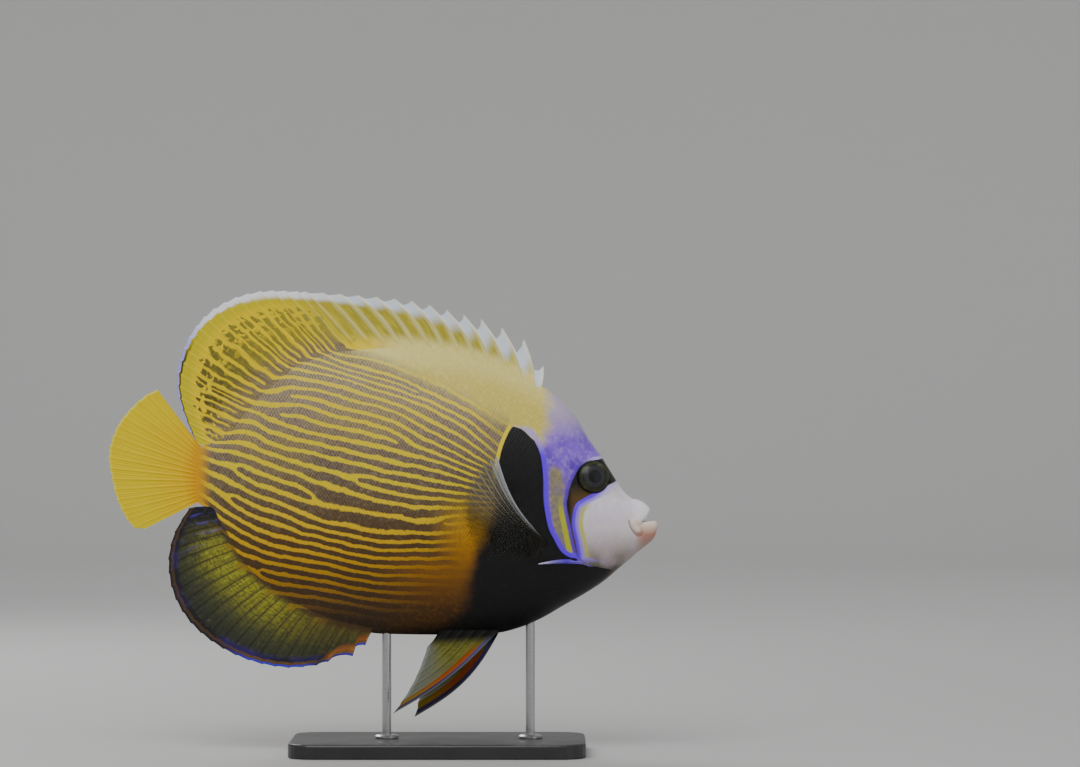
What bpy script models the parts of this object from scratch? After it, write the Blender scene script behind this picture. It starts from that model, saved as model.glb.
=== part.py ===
"""Emperor angelfish: a life-size still model held by a plain display stand.

Every size in this file is in millimetres until mesh_object() makes metres of it. The frame is the
model's own: +X towards the snout, +Z up, -Y the fish's right side, and the origin on the surface that
the stand rests on, under the middle of the model. The side outline is drawn in X and Z, and half
widths are measured from the fish's middle plane, Y = 0.
"""

import math

import bmesh
import bpy
import numpy as np

MM = 0.001
GAP = 0.3

# Side outline of the body without its fins, from the tail to the muzzle: (x, z).
BACK_LINE = (
    (-101, 165.8), (-92, 169.0), (-84, 176.0), (-75, 187.6), (-64, 199.0), (-48, 211.3),
    (-24, 219.6), (5, 221.9), (36, 218.6), (64, 210.6), (86, 200.0), (97, 191.0), (105.5, 181.5),
    (112, 170.4), (118.5, 161.4), (124, 152.5), (131.5, 141.4), (135.3, 138.2),
)
BELLY_LINE = (
    (-101, 136.6), (-94, 131.0), (-87.5, 120.1), (-77.7, 103.8), (-64, 90.6), (-45, 78.0),
    (-24, 69.2), (0, 64.9), (30, 64.4), (62, 65.4), (72, 67.6), (85, 72.8), (98, 80.2), (111, 87.6),
    (120, 93.6), (128, 100.4), (135.3, 106.6),
)
# Half width at the widest level of each cross section: (x, half width).
BODY_HALF_WIDTH = (
    (-101, 2.6), (-90, 5.4), (-64, 11.0), (-30, 17.0), (0, 21.0), (30, 23.6), (60, 25.0),
    (86, 24.4), (105, 22.0), (114, 19.4), (123, 16.0), (131, 12.8), (135.3, 10.8),
)
# How square each cross section is: (x, exponent), 0.5 being an ellipse and less being squarer.
SECTION_POWER = (
    (-101, 0.9), (-60, 0.88), (0, 0.84), (50, 0.76), (86, 0.62), (105, 0.48), (135.3, 0.42),
)
EDGE_HALF = 2.0
BODY_LEVELS = 25

STALK_START = -86.0
BODY_END = -101.0
HEAD_FRONT = 135.3

# Rear edge of the gill covers, from the nape to the throat: (z, x).
GILL_EDGE = (
    (90.0, 121.0), (92.4, 118.0), (98.4, 110.0), (106.0, 102.5), (110.0, 96.8), (117.0, 92.6),
    (123.4, 89.7), (134.2, 87.6), (148.4, 87.0), (161.0, 85.8), (167.4, 84.2), (184.0, 84.2),
    (201.0, 88.0),
)
GILL_GAP = 0.4
GILL_STEP = 1.0
GILL_BAND = 9.0
# Rear edge of the cheek plate, whose lower corner carries the cheek spine: (z, x).
CHEEK_EDGE = (
    (100.0, 110.5), (104.0, 108.5), (107.0, 106.5), (113.0, 104.7), (123.5, 102.6),
    (131.5, 103.1), (137.0, 106.7), (141.0, 112.0),
)
CHEEK_STEP = 0.8
CHEEK_LENGTH = 17.0

EYE_X, EYE_Z, EYE_Y = 114.3, 150.3, 16.6
EYE_RADIUS = 9.2
EYE_DEPTH_RADIUS = 4.6
EYE_SINK = 1.5
EYE_FORWARD_SLOPE, EYE_UP_SLOPE = 0.26, 0.16
ORBIT_INNER, ORBIT_OUTER = 9.6, 16.0
NOSTRILS = ((125.2, 145.4, 0.9), (122.9, 147.6, 0.7))

DORSAL_SPINES = 14
DORSAL_RAYS = 20
DORSAL_FIRST_X, DORSAL_LAST_SPINE_X, DORSAL_END_X = 86.4, -15.0, -97.5
# Free edge of the dorsal fin, spiny part and soft part: (x, z).
DORSAL_SPINE_TIPS = (
    (87.3, 210.3), (76.4, 224.8), (64.7, 231.5), (41.8, 238.9), (12.4, 246.2), (-42.4, 250.9),
)
DORSAL_SOFT_EDGE = (
    (-46.5, 250.9), (-64.7, 251.2), (-81.0, 247.4), (-95.7, 238.6), (-106.0, 225.5),
    (-111.9, 209.0), (-111.4, 193.0), (-105.5, 176.0), (-101.6, 168.6),
)
ANAL_SPINES = 3
ANAL_RAYS = 20
ANAL_FIRST_X, ANAL_LAST_SPINE_X, ANAL_END_X = -6.5, -20.0, -97.5
ANAL_SPINE_TIPS = ((-9.6, 58.6), (-16.5, 52.6), (-29.9, 49.5))
ANAL_SOFT_EDGE = (
    (-36.0, 47.6), (-51.6, 46.2), (-70.7, 49.5), (-89.0, 57.8), (-104.5, 70.5), (-114.0, 86.5),
    (-116.8, 104.0), (-113.5, 119.5), (-105.5, 133.0),
)
TAIL_RAYS = 17
TAIL_ROOT = ((-101.3, 165.4), (-101.3, 137.0))
TAIL_ROOT_HALF = 1.6
# Free edge of the tail fin, from its upper corner round to its lower one: (x, z).
TAIL_EDGE = (
    (-122.8, 197.6), (-131.6, 192.7), (-143.5, 179.5), (-149.0, 164.5), (-148.0, 151.5),
    (-143.8, 135.1), (-136.0, 122.5), (-130.0, 121.6),
)
PECTORAL_RAYS = 16
PECTORAL_ROOT = ((83.4, 106.6), (89.4, 115.0))
# Free edge of the near pectoral fin as seen from the side, from its lower ray to its leading one.
PECTORAL_EDGE = ((55.4, 107.6), (47.5, 116.0), (43.6, 129.0), (44.8, 144.0), (52.4, 155.0), (62.4, 162.0))
PECTORAL_FLARE = math.radians(19)
PELVIC_RAYS = 6
PELVIC_ROOT_X = (64.5, 31.0)
PELVIC_ROOT_Y = 4.2
# Free edges of the pelvic fins, from the leading spine's tip to the last ray's: near fin, far fin.
PELVIC_NEAR_EDGE = ((6.0, 22.7), (13.2, 32.8), (18.2, 42.0), (21.8, 50.5), (24.2, 58.0))
PELVIC_FAR_EDGE = ((16.4, 17.9), (19.4, 29.5), (22.6, 38.0), (26.0, 47.0), (29.6, 58.0))
# How far each pelvic fin's rays bow forwards, as a share of their length: near fin, far fin.
PELVIC_NEAR_BOW, PELVIC_FAR_BOW = 0.05, 0.09
PELVIC_NEAR_SPREAD, PELVIC_FAR_SPREAD = math.radians(17), math.radians(21)

SPINE_ROOT, SPINE_TIP = (111.0, 104.6), (84.3, 103.6)
SPINE_ROOT_RADIUS, SPINE_TIP_RADIUS = 1.9, 0.35

# Upper jaw and lower jaw as levels: (z, front x, half width).
UPPER_JAW = (
    (126.2, 142.9, 9.9), (128.6, 142.9, 9.9), (130.4, 143.8, 9.8), (132.2, 145.0, 9.3),
    (134.2, 144.2, 8.2), (136.2, 141.9, 6.4), (137.8, 138.2, 3.6),
)
LOWER_JAW = (
    (107.6, 137.0, 3.6), (109.6, 139.3, 6.0), (112.4, 142.9, 8.0), (115.6, 146.2, 9.2),
    (119.0, 148.2, 9.9), (122.6, 148.9, 10.1), (124.9, 148.6, 9.9), (125.9, 147.2, 9.5),
)
JAW_BACK = HEAD_FRONT + GAP

BASE_CENTRE_X, BASE_LENGTH, BASE_WIDTH, BASE_HEIGHT = 30.0, 160.0, 90.0, 8.0
BASE_CORNER, BASE_TOP_ROUND = 14.0, 1.2
ROD_RADIUS, ROD_SOCKET, ROD_SINK = 2.5, 6.0, 5.0
FLANGE_RADIUS, FLANGE_HEIGHT = 6.5, 1.8
ROD_X = {"stand_rod_rear": 2.0, "stand_rod_front": 80.0}

MATERIALS = {
    "purple_skin": ((0.10, 0.07, 0.22, 1.0), 0.45, 0.0),
    "striped_skin": ((0.42, 0.36, 0.20, 1.0), 0.45, 0.0),
    "yellow_fin": ((0.90, 0.58, 0.03, 1.0), 0.45, 0.0),
    "olive_fin": ((0.45, 0.42, 0.08, 1.0), 0.45, 0.0),
    "clear_fin": ((0.55, 0.58, 0.60, 1.0), 0.40, 0.0),
    "pale_lip": ((0.55, 0.48, 0.52, 1.0), 0.40, 0.0),
    "blue_spine": ((0.16, 0.28, 0.85, 1.0), 0.35, 0.0),
    "dark_eye": ((0.03, 0.03, 0.04, 1.0), 0.08, 0.0),
    "stand_base": ((0.04, 0.04, 0.045, 1.0), 0.40, 0.0),
    "stand_rod": ((0.62, 0.62, 0.62, 1.0), 0.28, 1.0),
}


def smooth_value(stations, at):
    """Value at each x of a smooth curve through (x, value) stations that never overshoots them."""
    xs, ys = np.array(stations, float).T
    slope = np.diff(ys) / np.diff(xs)
    product = slope[:-1] * slope[1:]
    total = np.where(product > 0, slope[:-1] + slope[1:], 1.0)
    inner = np.where(product > 0, 2 * product / total, 0.0)
    tangent = np.concatenate(([slope[0]], inner, [slope[-1]]))
    at = np.clip(np.asarray(at, float), xs[0], xs[-1])
    span = np.clip(np.searchsorted(xs, at, side="right") - 1, 0, len(xs) - 2)
    width = xs[span + 1] - xs[span]
    t = (at - xs[span]) / width
    return (
        ys[span] * (1 + 2 * t) * (1 - t) ** 2
        + tangent[span] * width * t * (1 - t) ** 2
        + ys[span + 1] * t * t * (3 - 2 * t)
        + tangent[span + 1] * width * t * t * (t - 1)
    )


def smooth_path(points, count):
    """Count points spaced evenly along a smooth curve through the given points."""
    p = np.array(points, float)
    p = np.vstack((2 * p[0] - p[1], p, 2 * p[-1] - p[-2]))
    t = np.linspace(0, 1, 24, endpoint=False)[:, None]
    spans = []
    for a, b, c, d in zip(p[:-3], p[1:-2], p[2:-1], p[3:]):
        spans.append(
            0.5 * (2 * b + (c - a) * t + (2 * a - 5 * b + 4 * c - d) * t**2 + (3 * b - a - 3 * c + d) * t**3)
        )
    dense = np.vstack(spans + [p[-2:-1]])
    walked = np.concatenate(([0], np.cumsum(np.linalg.norm(np.diff(dense, axis=0), axis=1))))
    wanted = np.linspace(0, walked[-1], count)
    return np.column_stack([np.interp(wanted, walked, dense[:, k]) for k in range(p.shape[1])])


def smooth_step(t):
    """0 below 0, 1 above 1, and a soft S between."""
    t = np.clip(t, 0, 1)
    return t * t * (3 - 2 * t)


def material(name):
    """The named Principled material, made once."""
    found = bpy.data.materials.get(name)
    if found:
        return found
    colour, roughness, metallic = MATERIALS[name]
    made = bpy.data.materials.new(name)
    made.use_nodes = True
    shader = made.node_tree.nodes["Principled BSDF"]
    shader.inputs["Base Color"].default_value = colour
    shader.inputs["Roughness"].default_value = roughness
    shader.inputs["Metallic"].default_value = metallic
    return made


def mesh_object(name, vertices, faces, finish):
    """Object of the given vertices in millimetres, its faces turned outwards and split in triangles."""
    mesh = bpy.data.meshes.new(name)
    mesh.from_pydata([tuple(v) for v in np.asarray(vertices, float) * MM], [], faces)
    shape = bmesh.new()
    shape.from_mesh(mesh)
    bmesh.ops.triangulate(shape, faces=shape.faces[:])
    bmesh.ops.recalc_face_normals(shape, faces=shape.faces[:])
    shape.to_mesh(mesh)
    shape.free()
    if finish:
        mesh.materials.append(material(finish))
    made = bpy.data.objects.new(name, mesh)
    bpy.context.scene.collection.objects.link(made)
    return made


def grid_faces(rows, columns, start=0):
    """Triangles of a rows by columns grid of vertices, all split along the same diagonal."""
    index = start + np.arange(rows * columns).reshape(rows, columns)
    a, b, c, d = index[:-1, :-1], index[1:, :-1], index[1:, 1:], index[:-1, 1:]
    first = np.stack((a, b, c), axis=-1).reshape(-1, 3)
    second = np.stack((a, c, d), axis=-1).reshape(-1, 3)
    return np.vstack((first, second)).tolist()


def cut(target, cutter, solver="EXACT"):
    """Cut one object out of another, keep the largest closed surface, and drop the cutter."""
    modifier = target.modifiers.new("cut", "BOOLEAN")
    modifier.operation = "DIFFERENCE"
    modifier.solver = solver
    modifier.object = cutter
    evaluated = target.evaluated_get(bpy.context.evaluated_depsgraph_get())
    result = bpy.data.meshes.new_from_object(evaluated)
    target.modifiers.remove(modifier)
    shape = bmesh.new()
    shape.from_mesh(result)
    bmesh.ops.triangulate(shape, faces=shape.faces[:])
    keep_largest(shape)
    shape.to_mesh(target.data)
    shape.free()
    bpy.data.meshes.remove(result)
    bpy.data.objects.remove(cutter)


def keep_largest(shape):
    """Delete all but the largest connected surface of a bmesh, by its number of faces."""
    unseen = set(shape.verts)
    groups = []
    while unseen:
        group, front = set(), [unseen.pop()]
        while front:
            vertex = front.pop()
            group.add(vertex)
            for edge in vertex.link_edges:
                other = edge.other_vert(vertex)
                if other in unseen:
                    unseen.discard(other)
                    front.append(other)
        groups.append(group)
    groups.sort(key=len)
    scraps = [vertex for group in groups[:-1] for vertex in group]
    bmesh.ops.delete(shape, geom=scraps, context="VERTS")


def body_level(x, h):
    """Height z at station x of level h, which runs from -1 on the belly line to 1 on the back line."""
    top, bottom = smooth_value(BACK_LINE, x), smooth_value(BELLY_LINE, x)
    return (top + bottom) / 2 + h * (top - bottom) / 2


def body_half_width(x, h):
    """Half width of the bare body at station x and level h."""
    widest = smooth_value(BODY_HALF_WIDTH, x)
    power = smooth_value(SECTION_POWER, x)
    return EDGE_HALF + (widest - EDGE_HALF) * np.clip(1 - h * h, 0, 1) ** power


def gill_x(h):
    """Station where level h meets the rear edge of the gill cover, found by halving."""
    low, high = np.full_like(h, 60.0), np.full_like(h, 130.0)
    for _ in range(40):
        middle = (low + high) / 2
        behind = middle < smooth_value(GILL_EDGE, body_level(middle, h))
        low, high = np.where(behind, middle, low), np.where(behind, high, middle)
    return low


def head_half_width(x, h):
    """Half width of the head: the bare body with gill cover, cheek plate and orbit raised on it."""
    z = body_level(x, h)
    inside = 1 - np.abs(h) ** 6
    width = body_half_width(x, h)
    past_gill = (x - smooth_value(GILL_EDGE, z)) / GILL_BAND
    width = width + GILL_STEP * inside * smooth_step(1 - past_gill)
    past_cheek = x - smooth_value(CHEEK_EDGE, z)
    level = smooth_step((z - 98) / 6) * smooth_step((142 - z) / 6)
    plate = smooth_step(past_cheek / 2 + 0.5) * smooth_step(1 - past_cheek / CHEEK_LENGTH)
    width = width + CHEEK_STEP * plate * level
    from_eye = np.hypot(x - EYE_X, z - EYE_Z)
    orbit = EYE_Y - EYE_FORWARD_SLOPE * (x - EYE_X) - EYE_UP_SLOPE * (z - EYE_Z)
    share = smooth_step((ORBIT_OUTER - from_eye) / (ORBIT_OUTER - ORBIT_INNER)) * inside
    return width * (1 - share) + orbit * share


def body_length(name, rear, front, counts, half_width, finish, grow=0.0):
    """Length of the body between two cuts, as one closed solid.

    Args:
        name: name of the node.
        rear: function of the level h giving the station of the rear cut.
        front: function of the level h giving the station of the front cut.
        counts: stations along the body and levels up each side.
        half_width: function of station and level giving the half width.
        finish: name of the material.
        grow: how far the solid stands outside its true surface.

    Returns:
        The object, its sides swept from cut to cut and its cuts closed straight across.
    """
    along, up = counts
    h = np.sin(np.linspace(-math.pi / 2, math.pi / 2, up))
    share = np.linspace(0, 1, along)[:, None]
    x = rear(h)[None] * (1 - share) + front(h)[None] * share
    level = np.broadcast_to(h, x.shape)
    z = body_level(x, level) + grow * level
    y = half_width(x, level) + grow
    right = np.stack((x, -y, z), axis=-1)
    left = np.stack((x, y, z), axis=-1)[:, ::-1]
    ring = np.concatenate((right, left), axis=1)
    faces = grid_faces(along, 2 * up)
    size = 2 * up
    for k in range(along - 1):
        a, b = k * size, (k + 1) * size
        faces += [[a, b, b + size - 1], [a, b + size - 1, a + size - 1]]
    for start in (0, (along - 1) * size):
        for k in range(up - 1):
            faces.append([start + k, start + k + 1, start + size - 2 - k, start + size - 1 - k])
    return mesh_object(name, ring.reshape(-1, 3), faces, finish)


def at_station(x):
    """A straight cut at one station."""
    return lambda h: np.full_like(h, x)


def make_trunk(name="trunk", grow=0.0):
    """Trunk from the tail stalk to the gill covers, or a copy grown by a gap for cutting fin roots."""
    return body_length(
        name, at_station(STALK_START + GAP - grow), lambda h: gill_x(h) - GILL_GAP + grow, (23, BODY_LEVELS),
        body_half_width, "striped_skin", grow,
    )


def make_head(name="head", grow=0.0):
    """Head from the gill covers to the muzzle."""
    return body_length(
        name, lambda h: gill_x(h) - grow, at_station(HEAD_FRONT + grow), (22, BODY_LEVELS),
        head_half_width, "purple_skin", grow,
    )


def make_tail_stalk():
    """Short stalk that carries the tail fin."""
    return body_length(
        "tail_stalk", at_station(BODY_END), at_station(STALK_START), (5, 13),
        body_half_width, "striped_skin",
    )


def ellipsoid(name, centre, radii, axis, finish=None, segments=24, rings=10):
    """Closed ellipsoid whose short radius, the last of radii, lies along the given axis."""
    axis = np.array(axis, float) / np.linalg.norm(axis)
    side = np.cross(axis, (0, 0, 1.0))
    side /= np.linalg.norm(side)
    up = np.cross(side, axis)
    polar = np.linspace(0, math.pi, rings + 1)[1:-1, None]
    turn = np.linspace(0, 2 * math.pi, segments, endpoint=False)[None]
    local = np.stack(
        np.broadcast_arrays(
            radii[0] * np.sin(polar) * np.cos(turn), radii[1] * np.sin(polar) * np.sin(turn),
            radii[2] * np.cos(polar),
        ),
        axis=-1,
    ).reshape(-1, 3)
    local = np.vstack((local, [(0, 0, radii[2]), (0, 0, -radii[2])]))
    vertices = np.array(centre) + local @ np.stack((side, up, axis))
    top, bottom = len(local) - 2, len(local) - 1
    faces = []
    for k in range(segments):
        n = (k + 1) % segments
        faces.append([top, k, n])
        last = (rings - 2) * segments
        faces.append([bottom, last + n, last + k])
        for ring in range(rings - 2):
            a, b = ring * segments, (ring + 1) * segments
            faces.append([a + k, b + k, b + n, a + n])
    return mesh_object(name, vertices, faces, finish)


def eye_pose(side):
    """Centre and outward axis of the eye on one side, -1 for the right and 1 for the left."""
    axis = np.array((EYE_FORWARD_SLOPE, side, EYE_UP_SLOPE))
    axis /= np.linalg.norm(axis)
    return np.array((EYE_X, side * EYE_Y, EYE_Z)) - EYE_SINK * axis, axis


def make_eye(name, side):
    """Eye as a flattened ball that stands slightly out of its orbit."""
    centre, axis = eye_pose(side)
    return ellipsoid(name, centre, (EYE_RADIUS, EYE_RADIUS, EYE_DEPTH_RADIUS), axis, "dark_eye")


def open_head(head):
    """Cut the two orbits and the nostrils into the head."""
    for side in (-1, 1):
        centre, axis = eye_pose(side)
        radii = (EYE_RADIUS + GAP, EYE_RADIUS + GAP, EYE_DEPTH_RADIUS + GAP)
        cut(head, ellipsoid("orbit_cutter", centre, radii, axis))
        for x, z, radius in NOSTRILS:
            h = level_at(x, z)
            y = side * head_half_width(np.array(x), np.array(h))
            pit = (radius, radius, 2 * radius)
            cut(head, ellipsoid("nostril_cutter", (x, y, z), pit, (0.6, side, 0.3), segments=8, rings=4))


def level_at(x, z):
    """Level h of the point (x, z) of the side outline."""
    top, bottom = smooth_value(BACK_LINE, x), smooth_value(BELLY_LINE, x)
    return (2 * z - top - bottom) / (top - bottom)


def make_jaw(name, levels):
    """Lip and jaw as a stack of round-fronted outlines with a flat back against the muzzle."""
    phi = np.linspace(-math.pi / 2, math.pi / 2, 13)
    bow, spread = np.cos(phi) ** 0.85, np.sin(phi)
    vertices = []
    for z, front, half in levels:
        vertices += [(JAW_BACK + (front - JAW_BACK) * b, half * s, z) for b, s in zip(bow, spread)]
    count = len(phi)
    faces = grid_faces(len(levels), count)
    for k in range(len(levels) - 1):
        a, b = k * count, (k + 1) * count
        faces.append([a + count - 1, b + count - 1, b, a])
    faces.append(list(range(count)))
    faces.append(list(range((len(levels) - 1) * count, len(levels) * count)))
    return mesh_object(name, vertices, faces, "pale_lip")


def sheet(name, centre, normal, half, finish):
    """Thin closed sheet with both faces split into triangles alike.

    Args:
        name: name of the object.
        centre: middle surface as an array of columns, rows and coordinates.
        normal: direction in which the sheet is thick.
        half: half thickness at each column and row.
        finish: name of the material.

    Returns:
        The object.
    """
    columns, rows = half.shape
    away = np.asarray(normal, float) * half[..., None]
    vertices = np.vstack(((centre + away).reshape(-1, 3), (centre - away).reshape(-1, 3)))
    index = np.arange(columns * rows).reshape(columns, rows)
    faces = grid_faces(columns, rows) + grid_faces(columns, rows, columns * rows)
    rim = np.concatenate((index[:, 0], index[-1, 1:], index[-2::-1, -1], index[0, -2:0:-1]))
    following = np.roll(rim, -1)
    shift = columns * rows
    faces += [[a, b, b + shift, a + shift] for a, b in zip(rim.tolist(), following.tolist())]
    return mesh_object(name, vertices, faces, finish)


def with_membrane(rays):
    """Put a point for the membrane half way between each two neighbouring rays."""
    rays = np.asarray(rays, float)
    out = np.repeat(rays, 2, axis=0)[:-1]
    out[1::2] = (rays[:-1] + rays[1:]) / 2
    return out


def notch_tips(roots, tips, depth):
    """Draw the membrane's edge in between the rays by a share of the fin's length there."""
    tips = tips.copy()
    tips[1::2] += (roots[1::2] - tips[1::2]) * depth[1::2, None]
    return tips


def ray_rows(roots, tips, rows, bow=0.0):
    """Points along every ray from root to tip, bowed sideways in the fin's own plane."""
    share = np.linspace(0, 1, rows)[None, :, None]
    run = (tips - roots)[:, None]
    across = np.stack((-run[..., 1], run[..., 0]), axis=-1)
    return roots[:, None] + run * share + across * bow * np.sin(math.pi * share)


def fin_half_thickness(columns, rows, root, edge, ridge):
    """Half thickness of a fin: root to edge down each ray, with every second column raised as a ray."""
    share = np.linspace(0, 1, rows)[None]
    membrane = edge + (root - edge) * (1 - share) ** 3
    raised = np.zeros((columns, 1))
    raised[::2, 0] = 1
    top = np.broadcast_to(np.asarray(ridge, float).reshape(-1, 1), (columns, 1))
    return membrane + raised * top * (1 - 0.6 * share)


def median_fin(name, roots, tips, rows, half, finish, bow=0.0):
    """Fin that stands in the fish's middle plane."""
    flat = ray_rows(roots, tips, rows, bow)
    centre = np.stack((flat[..., 0], np.zeros(flat.shape[:2]), flat[..., 1]), axis=-1)
    return sheet(name, centre, (0, 1, 0), half, finish)


def along_line(line, xs, side):
    """Points a gap off the body's outline: side 1 above the back line, -1 below the belly line."""
    xs = np.asarray(xs, float)
    z = smooth_value(line, xs)
    slope = (smooth_value(line, xs + 0.1) - smooth_value(line, xs - 0.1)) / 0.2
    scale = GAP / np.sqrt(1 + slope**2)
    return np.stack((xs - side * slope * scale, z + side * scale), axis=-1)


def even_roots(line, start, stop, count):
    """Stations spaced evenly along an outline of the body between two stations."""
    xs = np.linspace(start, stop, 200)
    z = smooth_value(line, xs)
    walked = np.concatenate(([0], np.cumsum(np.hypot(np.diff(xs), np.diff(z)))))
    return np.interp(np.linspace(0, walked[-1], count), walked, xs)


def make_dorsal_fin():
    """Dorsal fin: stiff spines in front with a notched edge, then a tall rounded soft part."""
    spine_x = np.linspace(DORSAL_FIRST_X, DORSAL_LAST_SPINE_X, DORSAL_SPINES)
    soft_x = even_roots(BACK_LINE, DORSAL_LAST_SPINE_X, DORSAL_END_X, DORSAL_RAYS + 1)[1:]
    tips = np.vstack((
        smooth_path(DORSAL_SPINE_TIPS, DORSAL_SPINES), smooth_path(DORSAL_SOFT_EDGE, DORSAL_RAYS),
    ))
    xs = with_membrane(np.concatenate((spine_x, soft_x)))
    roots = along_line(BACK_LINE, xs, 1)
    tips = with_membrane(tips)
    place = np.arange(len(xs)) / 2
    notch = np.interp(place, (0, 3, 10, 16, 33), (0.30, 0.20, 0.10, 0.02, 0.01))
    tips = notch_tips(roots, tips, notch)
    ridge = np.interp(place, (0, 13, 14, 33), (0.65, 0.6, 0.32, 0.2))
    half = fin_half_thickness(len(xs), 7, EDGE_HALF, 0.3, ridge)
    return median_fin("dorsal_fin", roots, tips, 7, half, "yellow_fin", 0.03)


def make_anal_fin():
    """Anal fin: three short spines in front and a deep rounded soft part."""
    spine_x = np.linspace(ANAL_FIRST_X, ANAL_LAST_SPINE_X, ANAL_SPINES)
    soft_x = even_roots(BELLY_LINE, ANAL_LAST_SPINE_X, ANAL_END_X, ANAL_RAYS + 1)[1:]
    tips = np.vstack((np.array(ANAL_SPINE_TIPS), smooth_path(ANAL_SOFT_EDGE, ANAL_RAYS)))
    xs = with_membrane(np.concatenate((spine_x, soft_x)))
    roots = along_line(BELLY_LINE, xs, -1)
    tips = with_membrane(tips)
    place = np.arange(len(xs)) / 2
    notch = np.interp(place, (0, 3, 6, 22), (0.34, 0.10, 0.02, 0.01))
    tips = notch_tips(roots, tips, notch)
    ridge = np.interp(place, (0, 2, 3, 22), (0.6, 0.55, 0.32, 0.2))
    half = fin_half_thickness(len(xs), 7, EDGE_HALF, 0.3, ridge)
    return median_fin("anal_fin", roots, tips, 7, half, "olive_fin", -0.03)


def make_tail_fin():
    """Tail fin: a fan with a gently rounded edge."""
    roots = with_membrane(smooth_path(TAIL_ROOT, TAIL_RAYS))
    tips = with_membrane(smooth_path(TAIL_EDGE, TAIL_RAYS))
    tips = notch_tips(roots, tips, np.full(len(tips), 0.01))
    half = fin_half_thickness(len(tips), 6, TAIL_ROOT_HALF, 0.3, 0.28)
    return median_fin("tail_fin", roots, tips, 6, half, "yellow_fin")


def make_pectoral_fin(name, side, trunk_copy):
    """Pectoral fin: a thin fan that flares back and out from behind the gill cover."""
    base = np.array(PECTORAL_ROOT, float)
    roots = with_membrane(smooth_path(base, PECTORAL_RAYS))
    tips = with_membrane(smooth_path(PECTORAL_EDGE, PECTORAL_RAYS))
    tips = notch_tips(roots, tips, np.full(len(tips), 0.02))
    rows = 6
    flat = ray_rows(roots, tips, rows, -0.03)
    middle = base.mean(axis=0)
    surface = float(body_half_width(middle[0], level_at(*middle)))
    reach = np.linalg.norm(flat - middle, axis=-1)
    out = surface - 1.2 + reach * math.tan(PECTORAL_FLARE)
    centre = np.stack((flat[..., 0], side * out, flat[..., 1]), axis=-1)
    half = fin_half_thickness(len(tips), rows, 1.1, 0.26, 0.2)
    normal = np.array((math.sin(PECTORAL_FLARE), side * math.cos(PECTORAL_FLARE), 0))
    fin = sheet(name, centre, normal, half, "clear_fin")
    cut(fin, trunk_copy)
    return fin


def make_pelvic_fin(name, side, edge, spread, bow, trunk_copy):
    """Pelvic fin: a narrow pointed fin led by its spine and long first ray, on the belly."""
    root_x = np.linspace(*PELVIC_ROOT_X, PELVIC_RAYS)
    inside = 3.0
    roots = with_membrane(np.stack((root_x, smooth_value(BELLY_LINE, root_x) + inside), axis=-1))
    tips = with_membrane(smooth_path(edge, PELVIC_RAYS))
    tips = notch_tips(roots, tips, np.full(len(tips), 0.03))
    rows = 8
    flat = ray_rows(roots, tips, rows, bow)
    drop = smooth_value(BELLY_LINE, PELVIC_ROOT_X[0]) - flat[..., 1]
    out = PELVIC_ROOT_Y + drop * math.tan(spread)
    centre = np.stack((flat[..., 0], side * out, flat[..., 1]), axis=-1)
    ridge = np.interp(np.arange(len(tips)) / 2, (0, 1, 5), (0.7, 0.4, 0.25))
    half = fin_half_thickness(len(tips), rows, 0.8, 0.3, ridge)
    fin = sheet(name, centre, (0, side * math.cos(spread), math.sin(spread)), half, "yellow_fin")
    cut(fin, trunk_copy)
    return fin


def taper(name, path, radii, sides, finish, start_angle=0.0):
    """Closed tube of round cross sections along a path in space."""
    path = np.asarray(path, float)
    ahead = np.gradient(path, axis=0)
    ahead /= np.linalg.norm(ahead, axis=1)[:, None]
    across = np.cross(ahead, (0, 1.0, 0))
    across /= np.linalg.norm(across, axis=1)[:, None]
    third = np.cross(ahead, across)
    turn = np.linspace(0, 2 * math.pi, sides, endpoint=False) + start_angle
    ring = across[:, None] * np.cos(turn)[None, :, None] + third[:, None] * np.sin(turn)[None, :, None]
    vertices = (path[:, None] + ring * np.asarray(radii)[:, None, None]).reshape(-1, 3)
    faces = []
    for k in range(len(path) - 1):
        for s in range(sides):
            a, b = k * sides + s, k * sides + (s + 1) % sides
            faces.append([a, b, b + sides, a + sides])
    faces.append(list(range(sides)))
    faces.append(list(range((len(path) - 1) * sides, len(path) * sides)))
    return mesh_object(name, vertices, faces, finish)


def make_cheek_spine(name, side, copies):
    """Cheek spine: a long taper that points back from the lower corner of the cheek plate."""
    count = 8
    share = np.linspace(0, 1, count)
    root, tip = np.array(SPINE_ROOT), np.array(SPINE_TIP)
    flat = root + (tip - root) * share[:, None]
    flat[:, 1] += 0.8 * np.sin(math.pi * share)
    start = float(head_half_width(flat[0, 0], level_at(*flat[0]))) - 0.6
    end = float(body_half_width(flat[-1, 0], level_at(*flat[-1]))) + 2.4
    out = start + (end - start) * share
    path = np.stack((flat[:, 0], side * out, flat[:, 1]), axis=-1)
    radii = SPINE_TIP_RADIUS + (SPINE_ROOT_RADIUS - SPINE_TIP_RADIUS) * (1 - share) ** 0.7
    spine = taper(name, path, radii, 8, "blue_spine")
    for copy in copies:
        cut(spine, copy)
    return spine


def cylinder(name, x, low, high, radius, finish=None, sides=24):
    """Upright cylinder on the fish's middle plane."""
    return taper(name, [(x, 0, low), (x, 0, high)], [radius, radius], sides, finish, math.pi / sides)


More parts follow.
